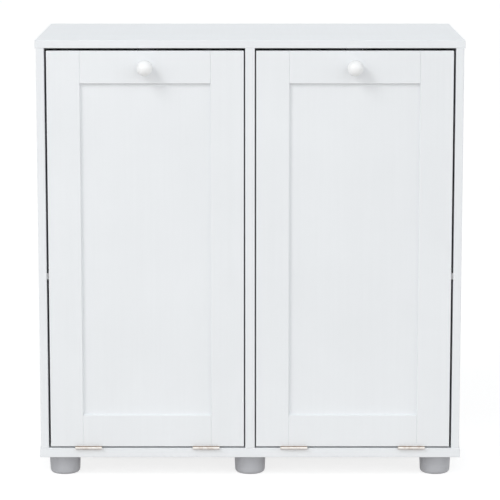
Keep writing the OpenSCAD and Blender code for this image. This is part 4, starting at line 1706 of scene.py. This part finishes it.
        faces = [(quads[None] + base).reshape(-1, 4), (tris[None] + base).reshape(-1, 3)]
        cloth = [np.zeros((*face.shape, 2)) for face in faces]
        return Shell(points.reshape(-1, 3), faces, cloth).turned_out()

    def stitching(self) -> Shell:
        """Rows of stitches along the hems and round the rim.

        Returns:
            The closed shells together.
        """
        shells = []
        face = self.cloth_t / 2
        for flap in self.hung_flaps():
            count = int(flap.length / self.hem_pitch)
            t = np.linspace(-0.93, 0.93, count)
            start, end = t[:-1], t[:-1] + 0.68 * (t[1] - t[0])
            for row in self.hem_rows:
                share = np.full(count - 1, row)
                first = self.flap_point(flap, start, share, face)
                last = self.flap_point(flap, end, share, face)
                out = np.repeat(flap.outward[None], count - 1, 0)
                shells.append(self.stitches(first, last, out))
        count = int(self.girth() / self.rim_pitch)
        turn = np.arange(count) / count
        for row in self.rim_rows:
            level = np.full(count, row)
            first = self.wall(turn, level, -face)
            last = self.wall(turn + 0.66 / count, level, -face)
            inward = unit(self.wall(turn, level, -1.0) - self.wall(turn, level, 0.0))
            shells.append(self.stitches(first, last, inward))
        return join(shells)

    def piping(self) -> Shell:
        """Piping round the floor and a bound edge round the rim.

        Each is a circle of the cord's radius, square to a ring of the wall.

        Returns:
            The closed shells together.
        """
        turn, sides = np.arange(self.around) / self.around, 10
        angle = np.linspace(0, 2 * math.pi, sides + 1)
        cos, sin = np.cos(angle)[:, None, None], np.sin(angle)[:, None, None]
        across = np.arange(self.around + 1) / self.around * self.girth()
        shells = []
        for height, radius, proud in self.cords:
            centre = self.wall(turn, np.full(self.around, height), proud)
            ahead = unit(np.roll(centre, -1, 0) - np.roll(centre, 1, 0))
            side = unit(np.cross(ahead, (0, 0, 1.0)))
            other = np.cross(ahead, side)
            points = centre[None] + radius * (cos * side[None] + sin * other[None])
            cloth = np.stack(np.meshgrid(across, angle * radius, indexing="xy"), axis=-1)
            shells.append(grid(points, around=True, cloth=cloth).looped(sides * self.around))
        return join(shells)

    def seams(self) -> Shell:
        """Flat seams up the middle of the two sides: strips of cloth just outside the wall.

        Returns:
            The open shells together.
        """
        shells = []
        heights = np.linspace(0.05, 0.965, 80)[:, None]
        for middle in (0.0, 0.5):
            turn = middle + np.linspace(-1, 1, 7)[None] * self.seam_half / self.girth()
            points = self.wall(turn + 0 * heights, heights + 0 * turn, self.seam_out)
            across, up = turn * self.girth(), heights * self.cloth_h
            cloth = np.stack([across + 0 * up, up + 0 * across], axis=-1)
            shells.append(grid(points, cloth=cloth))
        return join(shells)

    def handle(self, sign: int) -> Shell:
        """A webbing loop sewn inside a side wall, hanging in a U.

        Along t from 0 to 1 its middle goes y = -w cos(pi t) and down d sin(pi t) to a power,
        and stands further off the wall in its middle. Its width lies square to that path in
        the wall's plane.

        Args:
            sign: The side wall's sign along X.

        Returns:
            The open shell.
        """
        reach, drop, top, half_width = 62 * MM, 104 * MM, 26 * MM, 12 * MM
        gap, stand_off, hollow = 2.6 * MM, 9 * MM, 2.0 * MM
        t = np.linspace(0, 1, 64)
        y = -reach * np.cos(math.pi * t)
        z = self.wire.ring_z - top - drop * np.sin(math.pi * t) ** 0.62
        dy, dz = np.gradient(y), np.gradient(z)
        size = np.hypot(dy, dz)
        across = np.linspace(-1, 1, 9)[:, None] * half_width
        height = (z - self.bottom_z) / (self.wire.ring_z - self.bottom_z)
        turn = (y / self.girth()) * sign + (0.0 if sign > 0 else 0.5)
        base = self.wall(turn, height, -gap)
        off = stand_off * np.sin(math.pi * t) ** 1.5
        cup = hollow * np.sin(math.pi * t) * (across / half_width) ** 2
        x = base[:, 0][None] - sign * (off[None] + cup)
        points = np.stack(
            [
                x,
                self.middle_y + y[None] - across * (dz / size)[None],
                z[None] + across * (dy / size)[None],
            ],
            axis=-1,
        )
        length = np.concatenate([[0], np.cumsum(size[1:])])
        cloth = np.stack(np.broadcast_arrays(across, length[None]), axis=-1)
        return grid(points, cloth=cloth)

    def studs(self) -> Shell:
        """Press studs on the flaps: a rolled ring round a shallow dome, turned.

        Returns:
            The closed shells together.
        """
        radius, roll, sunk = self.stud_r, 0.8 * MM, 0.4 * MM
        profile = np.concatenate(
            [
                [[0.0, -sunk], [radius * 0.9, -sunk]],
                arc((radius - roll, 0.6 * MM), roll, -40, 150, 10),
                [[radius * 0.68, 0.55 * MM], [radius * 0.45, 1.0 * MM], [radius * 0.2, 1.2 * MM]],
                [[0.0, 1.25 * MM]],
            ]
        )
        share, face = np.array(self.stud_share), self.cloth_t / 2
        return join(
            lathe(profile, self.flap_point(flap, np.array(along), share, face), flap.facing, 24)
            for flap in self.hung_flaps()
            for along in self.stud_row
        )

    def build(self) -> None:
        """Makes the bag's pieces."""
        side = self.wire.side
        name = side.name
        loops = join([self.handle(-1), self.handle(1)])
        cloth, flaps, seams, piping, handles, sewn, studs = (
            piece(f"{name}_bag_{part}", shell, finish, side.body, slot, thick)
            for part, shell, finish, slot, thick in (
                ("cloth", self.body(), BAG_CANVAS, "bag_canvas", self.cloth_t),
                ("flaps", self.flaps(), BAG_CANVAS, "bag_canvas", self.cloth_t),
                ("seams", self.seams(), BAG_CANVAS, "bag_canvas", self.seam_t),
                ("piping", self.piping(), WEBBING, "bag_canvas", 0.0),
                ("handles", loops, WEBBING, "bag_canvas", self.webbing_t),
                ("stitches", self.stitching(), THREAD, "bag_canvas", 0.0),
                ("studs", self.studs(), STUD_NICKEL, "hinge_nickel", 0.0),
            )
        )
        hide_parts(f"{name}_bag")


# ------------------------------------------------------------------------- studio


@dataclass
class Studio:
    """Floor, soft light from the upper left, and the camera at the photograph's angle.

    Attributes:
        distance: From the camera to the point that it looks at.
        pitch_deg: How far the camera looks down.
        focal: Its focal length, as a multiple of the sensor's width.
        aim_z: Height of the point that it looks at.
        sensor: Width of its sensor, in millimetres.
        sky: Colour of the dome's light.
        dome: Strength of the dome's light.
        door_y: Depth of the point that the lamps face.
        door_z: Its height.
        key: The near lamp: azimuth, elevation, level, distance and diameter.
        fills: The distant lamps: name, azimuth, elevation, level and angular size.
        floor_lit: Colour of the floor for the light that it throws back.
        floor_seen: Its colour where it is seen, under its glow.
        floor_glow: Strength of that glow.
        floor_reach: Half its width.
    """

    distance: float = 5.0
    pitch_deg: float = 9.46
    focal: float = 5.122
    aim_z: float = 0.408
    sensor: float = 36.0
    sky: Colour = (0.90, 0.96, 1.0)
    dome: float = 0.38
    door_y: float = -0.18
    door_z: float = 0.45
    key: tuple[float, ...] = (-46.0, 43.0, 0.235, 5.5, 1.9)
    fills: tuple[tuple[str, float, float, float, float], ...] = (
        ("left fill", -46.0, 8.0, 0.36, 75.0),
        ("right fill", 38.0, 8.0, 0.51, 90.0),
        ("back fill", 160.0, 30.0, 0.155, 60.0),
    )
    floor_lit: Colour = (0.70, 0.67, 0.645)
    floor_seen: Colour = (0.34, 0.34, 0.34)
    floor_glow: float = 0.80
    floor_reach: float = 60.0

    def camera(self) -> None:
        """Looks at the middle of the front from in front and a little above."""
        data = bpy.data.cameras.new("camera")
        data.sensor_width = self.sensor
        data.lens = self.focal * self.sensor
        data.clip_end = 200.0
        made = bpy.data.objects.new("camera", data)
        bpy.context.scene.collection.objects.link(made)
        pitch = math.radians(self.pitch_deg)
        back = Vector((0.0, -math.cos(pitch), math.sin(pitch)))
        made.location = Vector((0.0, 0.0, self.aim_z)) + back * self.distance
        made.rotation_mode = "QUATERNION"
        made.rotation_quaternion = (-back).to_track_quat("-Z", "Y")
        bpy.context.scene.camera = made

    def sun(
        self, name: str, azimuth: float, elevation: float, level: float, spread: float
    ) -> None:
        """A broad distant lamp.

        Args:
            name: Its name.
            azimuth: Degrees from the front, towards +X.
            elevation: Degrees above the horizon.
            level: Brightness of a white surface that faces it.
            spread: Its angular size in degrees.
        """
        data = bpy.data.lights.new(name, "SUN")
        data.energy, data.angle = level * math.pi, math.radians(spread)
        self.aim(data, azimuth, elevation, 10.0)

    def soft_box(
        self, azimuth: float, elevation: float, level: float, distance: float, size: float
    ) -> None:
        """A round lamp near the cabinet, so its light falls off down the doors.

        Args:
            azimuth: Degrees from the front, towards +X.
            elevation: Degrees above the horizon.
            level: Brightness of a white surface that faces it, at the doors' middle.
            distance: From the doors' middle.
            size: Its diameter.
        """
        data = bpy.data.lights.new("key", "AREA")
        data.shape, data.size = "DISK", size
        data.energy = level * (math.pi * distance) ** 2
        self.aim(data, azimuth, elevation, distance)

    def aim(
        self, lamp: bpy.types.Light, azimuth: float, elevation: float, distance: float
    ) -> None:
        """Puts a lamp in a direction from the doors' middle, facing it, out of sight.

        Args:
            lamp: The lamp.
            azimuth: Degrees from the front, towards +X.
            elevation: Degrees above the horizon.
            distance: From the doors' middle.
        """
        made = bpy.data.objects.new(lamp.name, lamp)
        bpy.context.scene.collection.objects.link(made)
        a, e = math.radians(azimuth), math.radians(elevation)
        way = Vector((math.sin(a) * math.cos(e), -math.cos(a) * math.cos(e), math.sin(e)))
        made.location = Vector((0.0, self.door_y, self.door_z)) + way * distance
        made.rotation_mode = "QUATERNION"
        made.rotation_quaternion = way.to_track_quat("Z", "Y")
        made.visible_camera = False

    def seen(self, tree: ShaderTree) -> Value:
        """Tells the rays that show the background from those that light the cabinet.

        Args:
            tree: The tree that asks.

        Returns:
            1 for rays from the camera, from gloss and through glass, and 0 for light.
        """
        path = tree.node("ShaderNodeLightPath")
        kinds = ("Camera", "Glossy", "Transmission")
        camera, gloss, glass = (Value(tree, path.outputs[f"Is {kind} Ray"]) for kind in kinds)
        return camera.math("MAXIMUM", gloss).math("MAXIMUM", glass)

    def sky_light(self) -> None:
        """White where it is seen, and a plain cool dome as light."""
        world = bpy.data.worlds.new("sky")
        bpy.context.scene.world = world
        tree = ShaderTree(world)
        seen = self.seen(tree)
        colour = tree.mix(seen, self.sky, (1.0, 1.0, 1.0))
        strength = self.dome + seen * (1.0 - self.dome)
        back = tree.node("ShaderNodeBackground", inputs={"Color": colour, "Strength": strength})
        tree.node("ShaderNodeOutputWorld", inputs={"Surface": back.outputs[0]})

    def floor(self) -> None:
        """A wide pale floor, white where it is seen, that keeps the cabinet's shadow."""
        tree = ShaderTree(bpy.data.materials.new("floor"))
        seen = self.seen(tree)
        pale = tree.node("ShaderNodeBsdfDiffuse", inputs={"Color": self.floor_lit})
        half = tree.node("ShaderNodeBsdfDiffuse", inputs={"Color": self.floor_seen})
        glow = tree.node(
            "ShaderNodeEmission", inputs={"Color": (1.0, 1.0, 1.0), "Strength": self.floor_glow}
        )
        both = tree.node("ShaderNodeAddShader", inputs={0: half.outputs[0], 1: glow.outputs[0]})
        mixed = tree.node(
            "ShaderNodeMixShader", inputs={0: seen, 1: pale.outputs[0], 2: both.outputs[0]}
        )
        tree.node("ShaderNodeOutputMaterial", inputs={"Surface": mixed.outputs[0]})
        reach = np.linspace(-self.floor_reach, self.floor_reach, 5)
        x, y = np.meshgrid(reach, reach, indexing="ij")
        shell = grid(np.stack([x, y, np.zeros_like(x)], axis=-1))
        mesh = bpy.data.meshes.new("floor")
        mesh.from_pydata(shell.points.tolist(), [], shell.faces[0].tolist())
        mesh.materials.append(tree.owner)
        made = bpy.data.objects.new("floor", mesh)
        bpy.context.scene.collection.objects.link(made)

    def build(self) -> None:
        """Sets up the whole studio."""
        self.camera()
        self.sky_light()
        self.floor()
        self.soft_box(*self.key)
        for fill in self.fills:
            self.sun(*fill)
        bpy.context.scene.view_settings.view_transform = "Standard"


def main() -> None:
    """Builds the studio, the carcass, the doors and the bags."""
    logging.basicConfig(level=logging.INFO, format="%(message)s")
    Studio().build()
    Carcass().dress()
    Feet().build()
    for side in (Side("left", -1), Side("right", 1)):
        door = Door(side)
        door.dress()
        door.build()
        wire = BagFrame(side)
        wire.build()
        Bag(wire).build()


if __name__ == "__main__":
    main()
